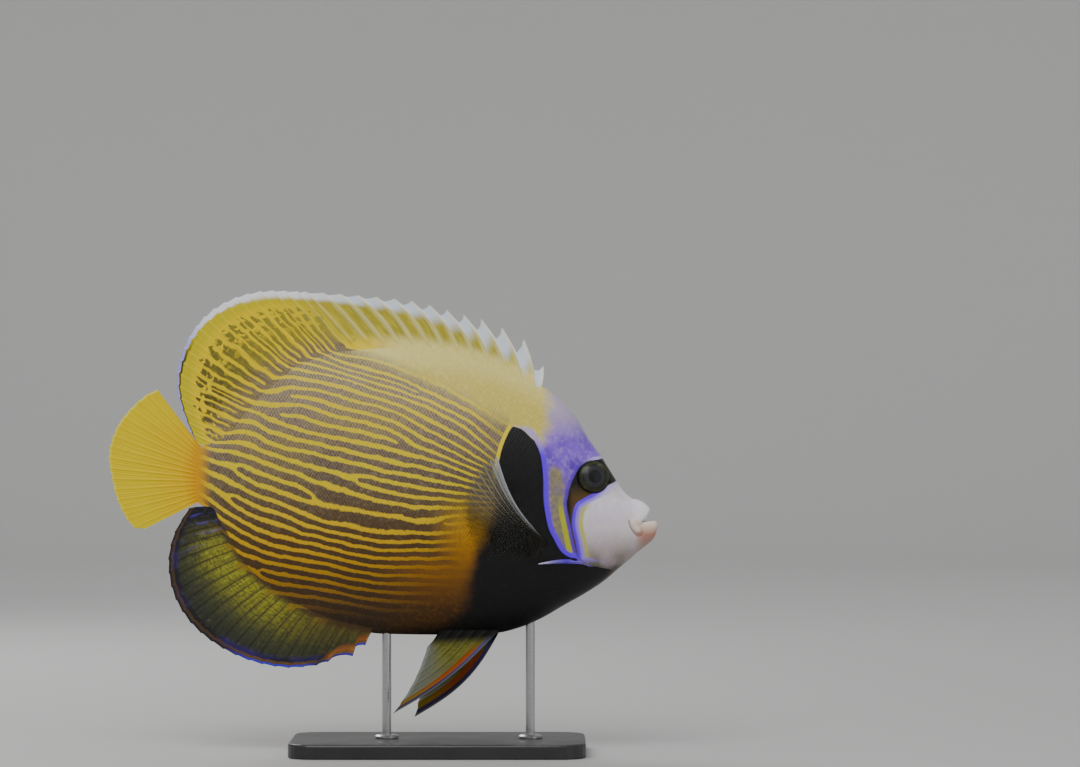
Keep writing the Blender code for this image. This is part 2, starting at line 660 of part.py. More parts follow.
def make_rod(name, x):
    """Upright rod with a flange on the base, its ends let into the base and the belly."""
    low = BASE_HEIGHT - ROD_SINK + GAP
    seat = BASE_HEIGHT + GAP
    high = float(smooth_value(BELLY_LINE, x)) + ROD_SOCKET - GAP
    profile = (
        (low, ROD_RADIUS), (seat, ROD_RADIUS), (seat, FLANGE_RADIUS), (seat + FLANGE_HEIGHT * 0.6, FLANGE_RADIUS),
        (seat + FLANGE_HEIGHT, FLANGE_RADIUS * 0.85), (seat + FLANGE_HEIGHT, ROD_RADIUS), (high, ROD_RADIUS),
    )
    sides = 24
    turn = np.linspace(0, 2 * math.pi, sides, endpoint=False)
    vertices = [(x + r * math.cos(a), r * math.sin(a), z) for z, r in profile for a in turn]
    faces = []
    for k in range(len(profile) - 1):
        for s in range(sides):
            a, b = k * sides + s, k * sides + (s + 1) % sides
            faces.append([a, b, b + sides, a + sides])
    faces.append(list(range(sides)))
    faces.append(list(range((len(profile) - 1) * sides, len(profile) * sides)))
    return mesh_object(name, vertices, faces, "stand_rod")


def make_base():
    """Flat base with rounded corners, a softened top edge and a socket for each rod."""
    def outline(inset):
        """Rounded rectangle drawn in by the given inset."""
        corner = BASE_CORNER - inset
        reach_x, reach_y = BASE_LENGTH / 2 - BASE_CORNER, BASE_WIDTH / 2 - BASE_CORNER
        points = []
        for quarter, (sx, sy) in enumerate(((1, 1), (-1, 1), (-1, -1), (1, -1))):
            for k in range(7):
                angle = math.pi / 2 * (quarter + k / 6)
                points.append((
                    BASE_CENTRE_X + sx * reach_x + corner * math.cos(angle),
                    sy * reach_y + corner * math.sin(angle),
                ))
        return points

    levels = [
        (0.0, 0.6), (0.6, 0.0), (BASE_HEIGHT - BASE_TOP_ROUND, 0.0),
        (BASE_HEIGHT - 0.3 * BASE_TOP_ROUND, 0.3 * BASE_TOP_ROUND), (BASE_HEIGHT, BASE_TOP_ROUND),
    ]
    vertices = [(x, y, z) for z, inset in levels for x, y in outline(inset)]
    count = len(outline(0.0))
    faces = []
    for k in range(len(levels) - 1):
        for s in range(count):
            a, b = k * count + s, k * count + (s + 1) % count
            faces.append([a, b, b + count, a + count])
    faces.append(list(range(count)))
    faces.append(list(range((len(levels) - 1) * count, len(levels) * count)))
    base = mesh_object("stand_base", vertices, faces, "stand_base")
    for x in ROD_X.values():
        socket = cylinder("socket_cutter", x, BASE_HEIGHT - ROD_SINK, BASE_HEIGHT + 2, ROD_RADIUS + GAP)
        cut(base, socket)
    return base


def make_stand(trunk):
    """Base and rods, and the sockets that the rods fill in the belly."""
    make_base()
    for name, x in ROD_X.items():
        make_rod(name, x)
        belly = float(smooth_value(BELLY_LINE, x))
        cut(trunk, cylinder("socket_cutter", x, belly - 8, belly + ROD_SOCKET, ROD_RADIUS + GAP))


def shade(made):
    """Smooth shading with sharp edges where the surface turns hard."""
    made.data.shade_smooth()
    made.data.set_sharp_from_angle(angle=math.radians(40))


def main():
    """Build every node of the model."""
    for item in list(bpy.data.objects):
        bpy.data.objects.remove(item)
    trunk = make_trunk()
    make_tail_stalk()
    head = make_head()
    open_head(head)
    make_jaw("upper_jaw", UPPER_JAW)
    make_jaw("lower_jaw", LOWER_JAW)
    make_dorsal_fin()
    make_anal_fin()
    make_tail_fin()
    for word, side in (("right", -1), ("left", 1)):
        make_eye(f"eye_{word}", side)
        copies = [make_trunk("trunk_copy", GAP), make_head("head_copy", GAP)]
        make_cheek_spine(f"cheek_spine_{word}", side, copies)
        make_pectoral_fin(f"pectoral_fin_{word}", side, make_trunk("trunk_copy", GAP))
    copy = make_trunk("trunk_copy", GAP)
    make_pelvic_fin("pelvic_fin_right", -1, PELVIC_NEAR_EDGE, PELVIC_NEAR_SPREAD, PELVIC_NEAR_BOW, copy)
    copy = make_trunk("trunk_copy", GAP)
    make_pelvic_fin("pelvic_fin_left", 1, PELVIC_FAR_EDGE, PELVIC_FAR_SPREAD, PELVIC_FAR_BOW, copy)
    make_stand(trunk)
    for made in bpy.data.objects:
        shade(made)


main()
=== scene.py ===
"""Emperor angelfish on a display stand: skin, fins, eyes, markings, stand finish and studio.

Lengths in the classes below are millimetres in the model's own frame, +X towards the snout, +Z up and
-Y the fish's right side, and Surface turns them into metres when it makes a mesh. The studio's lengths
are metres. Levels h run from -1 on the belly line to 1 on the back line at every station x.
"""

from __future__ import annotations

import logging
import math
from dataclasses import dataclass, field
from enum import Enum
from functools import reduce
from typing import Callable, Sequence

import bpy
import numpy as np
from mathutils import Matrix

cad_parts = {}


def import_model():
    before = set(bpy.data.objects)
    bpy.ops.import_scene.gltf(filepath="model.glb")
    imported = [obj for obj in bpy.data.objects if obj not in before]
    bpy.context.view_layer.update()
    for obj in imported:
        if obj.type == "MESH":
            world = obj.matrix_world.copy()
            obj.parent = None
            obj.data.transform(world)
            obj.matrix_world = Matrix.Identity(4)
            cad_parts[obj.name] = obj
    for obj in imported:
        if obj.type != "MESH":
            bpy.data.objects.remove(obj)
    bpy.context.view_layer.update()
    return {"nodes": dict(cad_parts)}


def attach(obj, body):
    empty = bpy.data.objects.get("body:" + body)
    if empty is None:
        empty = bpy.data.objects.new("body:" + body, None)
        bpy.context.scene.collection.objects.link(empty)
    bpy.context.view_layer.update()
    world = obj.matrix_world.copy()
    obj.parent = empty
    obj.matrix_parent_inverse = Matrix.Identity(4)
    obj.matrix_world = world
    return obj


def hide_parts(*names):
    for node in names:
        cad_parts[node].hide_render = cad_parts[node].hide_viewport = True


Array = np.ndarray
Colour = tuple[float, float, float]
Points = Sequence[tuple[float, ...]]
Piece = bpy.types.Object
Material = bpy.types.Material
Socket = bpy.types.NodeSocket
Value = float | Socket
Tone = Colour | Socket
MM = 0.001
LOG = logging.getLogger("angelfish")


class Side(Enum):
    """Side of the fish, with the sign of Y there."""

    RIGHT = -1
    LEFT = 1

    @property
    def word(self) -> str:
        """The side as a word in a node's name."""
        return self.name.lower()


def smooth_step(value: Array, low: float = 0.0, high: float = 1.0) -> Array:
    """0 at low and before, 1 at high and after, and a soft S between."""
    t = np.clip((np.asarray(value, float) - low) / (high - low), 0, 1)
    return t * t * (3 - 2 * t)


def bump(distance: Array, width: float) -> Array:
    """Bell of height 1 over distances given in the same unit as its width."""
    return np.exp(-((np.asarray(distance, float) / width) ** 2))


def smooth_path(points: Points, count: int, closed: bool = False) -> Array:
    """Points spaced evenly along a smooth curve, a Catmull-Rom spline, through the given points.

    Args:
        points: points in the plane or in space.
        count: how many points come out.
        closed: whether the curve returns to its first point.

    Returns:
        The points, one row each.
    """
    p = np.array(points, float)
    p = np.vstack((p[-1], p, p[0], p[1])) if closed else np.vstack((2 * p[0] - p[1], p, 2 * p[-1] - p[-2]))
    t = np.linspace(0, 1, 24, endpoint=False)[None, :, None]
    a, b, c, d = (q[:, None] for q in (p[:-3], p[1:-2], p[2:-1], p[3:]))
    spans = 0.5 * (2 * b + (c - a) * t + (2 * a - 5 * b + 4 * c - d) * t**2 + (3 * b - a - 3 * c + d) * t**3)
    dense = np.vstack((spans.reshape(-1, p.shape[1]), p[-2]))
    walked = np.concatenate(([0], np.cumsum(np.linalg.norm(np.diff(dense, axis=0), axis=1))))
    wanted = np.linspace(0, walked[-1], count)
    return np.column_stack([np.interp(wanted, walked, dense[:, k]) for k in range(p.shape[1])])


@dataclass(frozen=True)
class Stations:
    """Smooth curve through (x, value) points, a monotone cubic that never overshoots them."""

    points: Points

    def at(self, x: Array) -> Array:
        """Value of the curve at each x, held level past its ends.

        Args:
            x: where the curve is read.

        Returns:
            The values.
        """
        xs, ys = np.array(self.points, float).T
        slope = np.diff(ys) / np.diff(xs)
        product = slope[:-1] * slope[1:]
        total = np.where(product > 0, slope[:-1] + slope[1:], 1.0)
        tangent = np.concatenate(([slope[0]], np.where(product > 0, 2 * product / total, 0.0), [slope[-1]]))
        x = np.clip(np.asarray(x, float), xs[0], xs[-1])
        span = np.clip(np.searchsorted(xs, x, side="right") - 1, 0, len(xs) - 2)
        width = xs[span + 1] - xs[span]
        t = (x - xs[span]) / width
        return (
            ys[span] * (1 + 2 * t) * (1 - t) ** 2
            + tangent[span] * width * t * (1 - t) ** 2
            + ys[span + 1] * t * t * (3 - 2 * t)
            + tangent[span + 1] * width * t * t * (t - 1)
        )


@dataclass(frozen=True)
class Region:
    """Closed patch of the side view, with a signed distance to its smooth outline."""

    outline: Points
    count: int = 120

    def depth(self, x: Array, z: Array) -> Array:
        """Distance from each point to the outline in millimetres, positive inside.

        The distance is the least one to the outline's short straight pieces, and a point is inside
        where a ray from it crosses the outline an odd number of times.

        Args:
            x: stations of the points.
            z: heights of the points.

        Returns:
            The signed distances, in the shape of x.
        """
        edge = smooth_path(self.outline, self.count + 1, closed=True)[:-1]
        start, end = edge, np.roll(edge, -1, axis=0)
        px, pz = np.ravel(x)[:, None], np.ravel(z)[:, None]
        run = end - start
        along = ((px - start[:, 0]) * run[:, 0] + (pz - start[:, 1]) * run[:, 1]) / (run**2).sum(axis=1)
        along = np.clip(along, 0, 1)
        away = np.hypot(px - start[:, 0] - along * run[:, 0], pz - start[:, 1] - along * run[:, 1])
        crosses = (start[:, 1] > pz) != (end[:, 1] > pz)
        rise = np.where(run[:, 1] == 0, 1e-9, run[:, 1])
        hit = start[:, 0] + (pz - start[:, 1]) * run[:, 0] / rise > px
        inside = (crosses & hit).sum(axis=1) % 2 == 1
        return np.where(inside, away.min(axis=1), -away.min(axis=1)).reshape(np.shape(x))


@dataclass
class Surface:
    """Closed surface made of rings of points, each ring running round it and each joined to the next.

    The first and the last ring are closed by joining their points straight across in pairs.
    """

    name: str
    rings: Array
    fields: dict[str, Array] = field(default_factory=dict)

    def faces(self) -> Array:
        """Four-cornered faces between the rings and across the two ends.

        Returns:
            Numbers of the corners, a row for each face.
        """
        count, size = self.rings.shape[:2]
        index = np.arange(count * size).reshape(count, size)
        after = np.roll(index, -1, axis=1)
        walls = np.stack((index[:-1], after[:-1], after[1:], index[1:]), axis=-1).reshape(-1, 4)
        k = np.arange(size // 2 - 1)
        first = np.stack((k + 1, k, size - 1 - k, size - 2 - k), axis=-1)
        last = (count - 1) * size + np.stack((k, k + 1, size - 2 - k, size - 1 - k), axis=-1)
        return np.vstack((walls, first, last))

    def build(self) -> Piece:
        """Make the mesh in metres with its fields as point attributes, faces pointing outwards.

        The faces are turned round where the volume they enclose, summed as the triple products of
        their corners, comes out negative.

        Returns:
            The object, at the origin.
        """
        points = self.rings.reshape(-1, 3) * MM
        faces = self.faces()
        a, b, c, d = (points[faces[:, k]] for k in range(4))
        if (np.cross(a, b) * c).sum() + (np.cross(a, c) * d).sum() < 0:
            faces = faces[:, ::-1]
        mesh = bpy.data.meshes.new(self.name)
        mesh.vertices.add(len(points))
        mesh.vertices.foreach_set("co", points.ravel())
        mesh.loops.add(faces.size)
        mesh.loops.foreach_set("vertex_index", np.ascontiguousarray(faces, np.int32).ravel())
        mesh.polygons.add(len(faces))
        mesh.polygons.foreach_set("loop_start", np.arange(0, faces.size, 4, dtype=np.int32))
        mesh.polygons.foreach_set("use_smooth", np.ones(len(faces), bool))
        mesh.update(calc_edges=True)
        mesh.validate()
        for name, values in self.fields.items():
            layer = mesh.attributes.new(name, "FLOAT", "POINT")
            layer.data.foreach_set("value", np.ascontiguousarray(values, np.float32).ravel())
        made = bpy.data.objects.new(self.name, mesh)
        bpy.context.scene.collection.objects.link(made)
        return made


class Paint:
    """Node graph of one material, written as calls that each return a socket."""

    def __init__(self, name: str) -> None:
        """Start an empty material of the given name.

        Args:
            name: the material's name.
        """
        self.material = bpy.data.materials.new(name)
        self.material.use_nodes = True
        self.tree = self.material.node_tree
        self.tree.nodes.clear()
        self.output = self.tree.nodes.new("ShaderNodeOutputMaterial")
        self.coordinates = self.tree.nodes.new("ShaderNodeTexCoord")

    def _set(self, socket: Socket, value: Value | Tone) -> None:
        """Link a socket to another one, or give it a plain value.

        Args:
            socket: input of a node.
            value: output that feeds it, or the number or colour that it takes.
        """
        if isinstance(value, Socket):
            self.tree.links.new(value, socket)
        elif isinstance(value, tuple) and socket.type == "RGBA":
            socket.default_value = (*value, 1.0)
        else:
            socket.default_value = value

    def _node(self, kind: str, inputs: dict[int | str, Value | Tone], **settings: str) -> bpy.types.Node:
        """Add a node to the graph.

        Args:
            kind: the node's type after the word ShaderNode.
            inputs: sockets or values by the input's number or name.
            settings: the node's own options.

        Returns:
            The node.
        """
        node = self.tree.nodes.new(f"ShaderNode{kind}")
        for name, setting in settings.items():
            setattr(node, name, setting)
        for key, value in inputs.items():
            self._set(node.inputs[key], value)
        return node

    def position(self) -> Socket:
        """Object coordinates in metres."""
        return self.coordinates.outputs["Object"]

    def axis(self, name: str) -> Socket:
        """One of the object coordinates, X, Y or Z, in millimetres."""
        return self.times(self._node("SeparateXYZ", {0: self.position()}).outputs[name], 1 / MM)

    def field(self, name: str) -> Socket:
        """A point attribute of the piece."""
        return self._node("Attribute", {}, attribute_name=name).outputs["Fac"]

    def vector(self, x: Value, y: Value, z: Value = 0.0) -> Socket:
        """Vector of three values."""
        return self._node("CombineXYZ", {0: x, 1: y, 2: z}).outputs[0]

    def maths(self, operation: str, *values: Value) -> Socket:
        """Result of a math node of two or three values."""
        return self._node("Math", dict(enumerate(values)), operation=operation).outputs[0]

    def times(self, *values: Value) -> Socket:
        """Product of two values or more."""
        return reduce(lambda whole, part: self.maths("MULTIPLY", whole, part), values)

    def plus(self, a: Value, b: Value) -> Socket:
        """Sum of two values."""
        return self.maths("ADD", a, b)

    def times_plus(self, a: Value, b: Value, c: Value) -> Socket:
        """Product of two values, plus a third."""
        return self.maths("MULTIPLY_ADD", a, b, c)

    def swing(self, value: Value, width: float) -> Socket:
        """A value from 0 to 1 stretched to a width, and moved so that it swings about 0."""
        return self.times_plus(value, width, -width / 2)

    def minus(self, a: Value, b: Value) -> Socket:
        """The first value less the second."""
        return self.maths("SUBTRACT", a, b)

    def over(self, a: Value, b: Value) -> Socket:
        """The first value divided by the second."""
        return self.maths("DIVIDE", a, b)

    def larger(self, a: Value, b: Value) -> Socket:
        """The larger of two values."""
        return self.maths("MAXIMUM", a, b)

    def off_whole(self, value: Value) -> Socket:
        """Distance of a value from the nearest whole number."""
        return self.maths("PINGPONG", value, 0.5)

    def fade(self, value: Value, low: float, high: float, start: float = 0.0, end: float = 1.0) -> Socket:
        """Soft S from start at low to end at high."""
        inputs = dict(enumerate((value, low, high, start, end)))
        return self._node("MapRange", inputs, interpolation_type="SMOOTHSTEP").outputs[0]

    def band(self, value: Value, low: float, high: float, soft: float) -> Socket:
        """1 between low and high, falling to 0 over the soft width outside each."""
        return self.times(self.fade(value, low - soft, low), self.fade(value, high + soft, high))

    def noise(self, scale: float, detail: float, rough: float = 0.5, where: Socket | None = None) -> Socket:
        """Noise from 0 to 1, over the object coordinates unless a place is given."""
        where = self.position() if where is None else where
        return self._node("TexNoise", {0: where, 2: scale, 3: detail, 4: rough}).outputs[0]

    def cells(self, where: Socket, randomness: float) -> Socket:
        """Distance to the nearest middle of cells that are one unit wide."""
        inputs = {"Vector": where, "Scale": 1.0, "Randomness": randomness}
        return self._node("TexVoronoi", inputs, voronoi_dimensions="2D").outputs["Distance"]

    def mix(self, share: Value, a: Tone, b: Tone) -> Socket:
        """Colour a with a share of colour b over it."""
        return self._node("Mix", {0: share, 6: a, 7: b}, data_type="RGBA").outputs[2]

    def lay(self, base: Tone, coat: Tone, value: Value, *span: float) -> Socket:
        """Colour with a coat laid over it, by the share that fade works out from a value and its span."""
        return self.mix(self.fade(value, *span), base, coat)

    def ramp(self, value: Value, stops: Sequence[tuple[float, Colour]]) -> Socket:
        """Colour read off a ramp.

        Args:
            value: what the ramp is read at.
            stops: places in the value's own unit, in rising order, and their colours.

        Returns:
            The colour.
        """
        low, high = stops[0][0], stops[-1][0]
        share = self._node("MapRange", {0: value, 1: low, 2: high}).outputs[0]
        node = self._node("ValToRGB", {0: share})
        elements = node.color_ramp.elements
        while len(elements) < len(stops):
            elements.new(0.5)
        for element, (at, colour) in zip(elements, stops):
            element.position = (at - low) / (high - low)
            element.color = (*colour, 1.0)
        return node.outputs[0]

    def relief(self, height: Value, depth: float, strength: float, under: Socket | None = None) -> Socket:
        """Bump normal of a height.

        Args:
            height: height from 0 to 1.
            depth: what a height of 1 stands for in millimetres.
            strength: how much of the bump is used.
            under: normal that the bump is laid over, if any.

        Returns:
            The normal.
        """
        inputs = {"Strength": strength, "Distance": depth * MM, "Height": height}
        if under is not None:
            inputs["Normal"] = under
        return self._node("Bump", inputs).outputs[0]

    def finish(self, **sockets: Value | Tone) -> Material:
        """Close the graph with a Principled shader.

        Args:
            sockets: values or sockets by the shader's input names, with _ for a space.

        Returns:
            The material.
        """
        inputs = {name.replace("_", " "): value for name, value in sockets.items()}
        shader = self._node("BsdfPrincipled", inputs)
        self.tree.links.new(shader.outputs[0], self.output.inputs[0])
        return self.material


@dataclass(frozen=True)
class FishShape:
    """Outline and cross sections of the body, which the skin and all the fins are set on."""

    back: Stations = Stations((
        (-101, 165.8), (-92, 169.0), (-84, 176.0), (-75, 187.6), (-64, 199.0), (-48, 211.3),
        (-24, 219.6), (5, 221.9), (36, 218.6), (64, 210.6), (86, 200.0), (97, 191.0), (105.5, 181.5),
        (112, 170.4), (118.5, 161.4), (124, 152.5), (131.5, 141.4), (135.3, 138.2),
    ))
    belly: Stations = Stations((
        (-101, 136.6), (-94, 131.0), (-87.5, 120.1), (-77.7, 103.8), (-64, 90.6), (-45, 78.0),
        (-24, 69.2), (0, 64.9), (30, 64.4), (62, 65.4), (72, 67.6), (85, 72.8), (98, 80.2), (111, 87.6),
        (120, 93.6), (128, 100.4), (135.3, 106.6),
    ))
    widest: Stations = Stations((
        (-101, 2.6), (-90, 5.4), (-64, 11.0), (-30, 17.0), (0, 21.0), (30, 23.6), (60, 25.0),
        (86, 24.4), (105, 22.0), (114, 19.4), (123, 16.0), (131, 12.8), (135.3, 10.8),
    ))
    squareness: Stations = Stations((
        (-101, 0.9), (-60, 0.88), (0, 0.84), (50, 0.76), (86, 0.62), (105, 0.48), (135.3, 0.42),
    ))
    gill: Stations = Stations((
        (90.0, 121.0), (92.4, 118.0), (98.4, 110.0), (106.0, 102.5), (110.0, 96.8), (117.0, 92.6),
        (123.4, 89.7), (134.2, 87.6), (148.4, 87.0), (161.0, 85.8), (167.4, 84.2), (184.0, 84.2),
        (201.0, 88.0),
    ))
    cheek: Stations = Stations((
        (100.0, 110.5), (104.0, 108.5), (107.0, 106.5), (113.0, 104.7), (123.5, 102.6),
        (131.5, 103.1), (137.0, 106.7), (141.0, 112.0),
    ))
    edge_half: float = 2.0
    tail_end: float = -110.0
    tail_thin: tuple[float, float] = (-112.0, -94.0)
    muzzle: float = 135.3
    eye: tuple[float, float, float] = (114.3, 16.6, 150.3)
    eye_slope: tuple[float, float] = (0.26, 0.16)
    orbit_reach: float = 16.0
    orbit_blend: float = 6.4
    plate_rise: float = 0.8
    plate_width: float = 17.0

    def height(self, x: Array, h: Array) -> Array:
        """Height of level h at station x: half way between belly and back, and h halves from it."""
        top, bottom = self.back.at(x), self.belly.at(x)
        return (top + bottom) / 2 + h * (top - bottom) / 2

    def level(self, x: Array, z: Array) -> Array:
        """Level of a height at a station."""
        top, bottom = self.back.at(x), self.belly.at(x)
        return (2 * z - top - bottom) / (top - bottom)

    def half_width(self, x: Array, h: Array) -> Array:
        """Half width of the bare body: the widest one times 1 - h squared to the section's power."""
        swell = (self.widest.at(x) - self.edge_half) * np.clip(1 - h * h, 0, 1) ** self.squareness.at(x)
        return (self.edge_half + swell) * (0.1 + 0.9 * smooth_step(x, *self.tail_thin))

    def gill_station(self, h: Array) -> Array:
        """Station where each level meets the gill cover's rear edge, found by halving a span.

        Args:
            h: levels.

        Returns:
            The stations.
        """
        low, high = np.full_like(h, 60.0), np.full_like(h, 130.0)
        for _ in range(40):
            middle = (low + high) / 2
            behind = middle < self.gill.at(self.height(middle, h))
            low, high = np.where(behind, middle, low), np.where(behind, high, middle)
        return low

    def gill_share(self, z: Array) -> Array:
        """Share of the gill cover's rise and slit at a height: none on the nape and under the throat."""
        return smooth_step(-z, -176, -164) * smooth_step(z, 102, 108)

    def head_half_width(self, x: Array, h: Array) -> Array:
        """Half width of the head, with the gill cover, cheek plate and orbit raised on the bare body.

        Each form is a height times soft steps of the distance past its edge, and near the eye the
        surface blends into a sloping plane that the eye is set in.

        Args:
            x: stations.
            h: levels.

        Returns:
            The half widths.
        """
        z = self.height(x, h)
        inside = 1 - np.abs(h) ** 6
        cover = inside * smooth_step(1 - (x - self.gill.at(z)) / 9.0)
        width = self.half_width(x, h) + cover * self.gill_share(z)
        past = x - self.cheek.at(z)
        level = smooth_step(z, 98, 104) * smooth_step(-z, -142, -136)
        plate = level * smooth_step(past / 1.2 + 0.5) * smooth_step(1 - past / self.plate_width)
        width = width + self.plate_rise * plate
        ex, ey, ez = self.eye
        plane = ey - self.eye_slope[0] * (x - ex) - self.eye_slope[1] * (z - ez)
        share = smooth_step((self.orbit_reach - np.hypot(x - ex, z - ez)) / self.orbit_blend) * inside
        return width * (1 - share) + plane * share

    def off_line(self, line: Stations, x: Array, away: float) -> Array:
        """Points at right angles off the back or belly line, as (x, z) rows.

        Args:
            line: the back or the belly line.
            x: stations along it.
            away: distance off it, upwards where positive.

        Returns:
            The points.
        """
        slope = (line.at(x + 0.1) - line.at(x - 0.1)) / 0.2
        scale = away / np.sqrt(1 + slope**2)
        return np.stack((x - slope * scale, line.at(x) + scale), axis=-1)


@dataclass(frozen=True)
class Lines:
    """Wavy yellow lines of the flank: guides that follow numbered lines, and forks where a line ends.

    Going once round a fork changes the line number by one, so one line more runs on its open side.
    """

    guides: tuple[tuple[float, Points], ...] = (
        (-4.0, ((-60, 226), (-20, 221), (20, 212), (50, 197), (70, 184))),
        (-2.0, ((-60, 216), (-40, 219), (-17, 210.4), (4, 205.4), (25, 196.4), (47, 185.7), (66, 172))),
        (0.0, ((-70, 212), (-49, 209.2), (-29, 204.9), (-7, 198.8), (15, 192.2), (36, 182.2), (66, 160))),
        (2.0, ((-80, 206), (-64, 196.5), (-50, 199), (-29, 194.8), (4, 186.5), (25, 176.1), (62, 155))),
        (4.0, ((-82, 196), (-68, 189.2), (-50, 189.5), (-17, 181.1), (4, 175.5), (25, 164.7), (62, 150))),
        (5.0, ((-86, 188), (-72, 186), (-61, 180.7), (-40, 174.6), (-17, 169.6), (15, 162.6), (62, 147.5))),
        (7.0, ((-92, 172.6), (-75, 175), (-61, 168.9), (-40, 163), (-7, 155.6), (25, 148.8), (62, 142))),
        (10.0, (
            (-100, 166.3), (-83, 163.6), (-61, 157.2), (-29, 145.2), (4, 136.4), (25, 133.8), (62, 134.2),
        )),
        (13.0, ((-100, 155.0), (-83, 147.5), (-61, 137.6), (-29, 126.4), (4, 120.1), (62, 122.5))),
        (16.0, ((-100, 142.0), (-83, 130.0), (-61, 119.5), (-29, 111.6), (4, 106.4), (62, 107))),
        (19.0, ((-100, 128.0), (-83, 112.5), (-61, 103.9), (-29, 97.8), (4, 92.4), (62, 92))),
        (22.0, ((-100, 108.0), (-72, 92.4), (-61, 88.0), (-29, 83.0), (4, 78.0), (62, 76))),
        (26.0, ((-100, 86.0), (-61, 66.0), (4, 58.0), (62, 54))),
    )
    forks: tuple[tuple[float, float, int], ...] = (
        (9.0, 168.4, 1), (-56.0, 184.3, -1), (-13.0, 149.0, -1), (-50.0, 194.0, -1), (-79.0, 155.0, -1),
        (-82.0, 139.0, -1), (34.0, 126.0, -1), (-38.0, 139.0, 1), (-66.0, 99.0, -1), (20.0, 196.0, 1),
    )

    def turns(self, x: Array, z: Array) -> Array:
        """Sum of the turns round every fork, each from -1/2 to 1/2 with the jump straight behind it."""
        return sum(sign * np.arctan2(z - fz, x - fx) for fx, fz, sign in self.forks) / (2 * math.pi)

    def number(self, x: Array, z: Array) -> Array:
        """Line number at each point without the forks' turns.

        A guide's number is less the turns that the forks add along it, each counted over the side on
        which the guide passes the fork, and a point is read between the guides above and below it.

        Args:
            x: stations.
            z: heights.

        Returns:
            The numbers.
        """
        heights, numbers = [], []
        for start, points in self.guides:
            guide = Stations(points)
            z_guide = guide.at(x)
            number = np.full(np.shape(x), start, float)
            for fx, fz, sign in self.forks:
                over = 1.0 if guide.at(fx) > fz else -1.0
                angle = over * (math.pi / 2 - np.arctan2(x - fx, over * (z_guide - fz)))
                number = number - sign * angle / (2 * math.pi)
            heights.append(z_guide)
            numbers.append(number)
        out = numbers[0]
        for above, below, top, bottom in zip(numbers[:-1], numbers[1:], heights[:-1], heights[1:]):
            share = (top - z) / np.maximum(top - bottom, 0.5)
            out = np.where(share > 0, above + np.clip(share, 0, 1) * (below - above), out)
        return out

    def spacing(self, x: Array, z: Array) -> Array:
        """Distance from a line to the next in millimetres, which is one over the number's slope.

        Args:
            x: stations.
            z: heights.

        Returns:
            The distances.
        """
        step = 0.5
        slope_x = (self.number(x + step, z) - self.number(x - step, z)) / (2 * step)
        slope_z = (self.number(x, z + step) - self.number(x, z - step)) / (2 * step)
        return 1 / np.maximum(np.hypot(slope_x, slope_z), 0.02)

    def whole_number(self, x: Array, z: Array) -> Array:
        """Line number with the forks' turns, made to run on without jumps over a grid of points."""
        number = np.unwrap(self.number(x, z) + self.turns(x, z), axis=0, period=1)
        return number + (np.unwrap(number[0], period=1) - number[0])[None]


@dataclass(frozen=True)
class Markings:
    """Patches of the head and chest as outlines in the side view, (x, z)."""

    dark: Region = Region((
        (70.5, 177.6), (75.5, 176.2), (80, 172.0), (90, 162), (100, 140), (128, 92), (120, 60), (60, 52),
        (0, 60), (20, 66.5), (36, 71), (44, 77), (47.5, 88), (49.5, 101), (53.5, 114.7), (58, 124.5),
        (60.9, 133.5), (61.4, 146), (63.2, 158.5), (65.6, 168.0),
    ), 160)
    head: Region = Region((
        (69, 181), (72, 177.6), (75.4, 176.3), (79.2, 174.3), (82.4, 169.9), (84.8, 164.2), (86.1, 159.2),
        (87.0, 149.5), (87.2, 137.5), (89.7, 123.4), (92.7, 116.9), (96.7, 110.0), (101, 107.0),
        (104.8, 106.6), (107, 104.0), (112.5, 102.0), (123, 99.6), (130, 97), (160, 100), (165, 160),
        (130, 190), (100, 215), (70, 215),
    ), 200)
    mask: Region = Region((
        (119.0, 160.2), (113.6, 159.0), (108.2, 156.8), (104.6, 152.2), (101.6, 145.7), (100.3, 140.2),
        (99.6, 135.9), (100.6, 129.4), (103.2, 117.0), (105.4, 107.6), (106.4, 107.6), (104.4, 118.0),
        (103.0, 129.0), (104.4, 135.6), (108.6, 138.6), (114.8, 141.8), (120.7, 144.8), (125.6, 147.4),
        (132, 152), (126, 162),
    ), 200)
    cheek: Region = Region((
        (126.0, 147.6), (120.7, 145.0), (114.8, 141.9), (108.6, 138.8), (104.6, 135.6), (102.7, 129.5),
        (102.6, 123.5), (104.3, 115.8), (105.6, 108.7), (106.5, 104.6), (112.5, 102.6), (123, 100.2),
        (130, 97), (160, 100), (160, 145), (136, 152),
    ), 200)
    gill_centre: Region = Region((
        (90.2, 153.5), (95.0, 155.5), (98.2, 148.5), (98.6, 137.5), (99.8, 126.6), (101.8, 115.8),
        (103.8, 108.8), (99.6, 109.6), (95.2, 116.0), (91.6, 125.5), (90.4, 137.5),
    ))
    nape: Region = Region((
        (-25, 228), (-4, 214.0), (20, 203.5), (40, 193.5), (58, 183.0), (68, 178.5), (78, 165), (130, 150),
        (140, 240), (0, 240),
    ))
    purple: Region = Region((
        (95, 198), (91.0, 187.5), (89.2, 178.0), (86.5, 171.8), (84.0, 166.5), (80, 150), (90, 90), (160, 90),
        (160, 200),
    ))


def line_wave(paint: Paint) -> Socket:
    """Waviness of the flank's lines, coarse and fine, as a share of the way from one to the next."""
    return paint.plus(paint.swing(paint.noise(120.0, 1.0), 0.30), paint.swing(paint.noise(38.0, 1.0), 0.62))


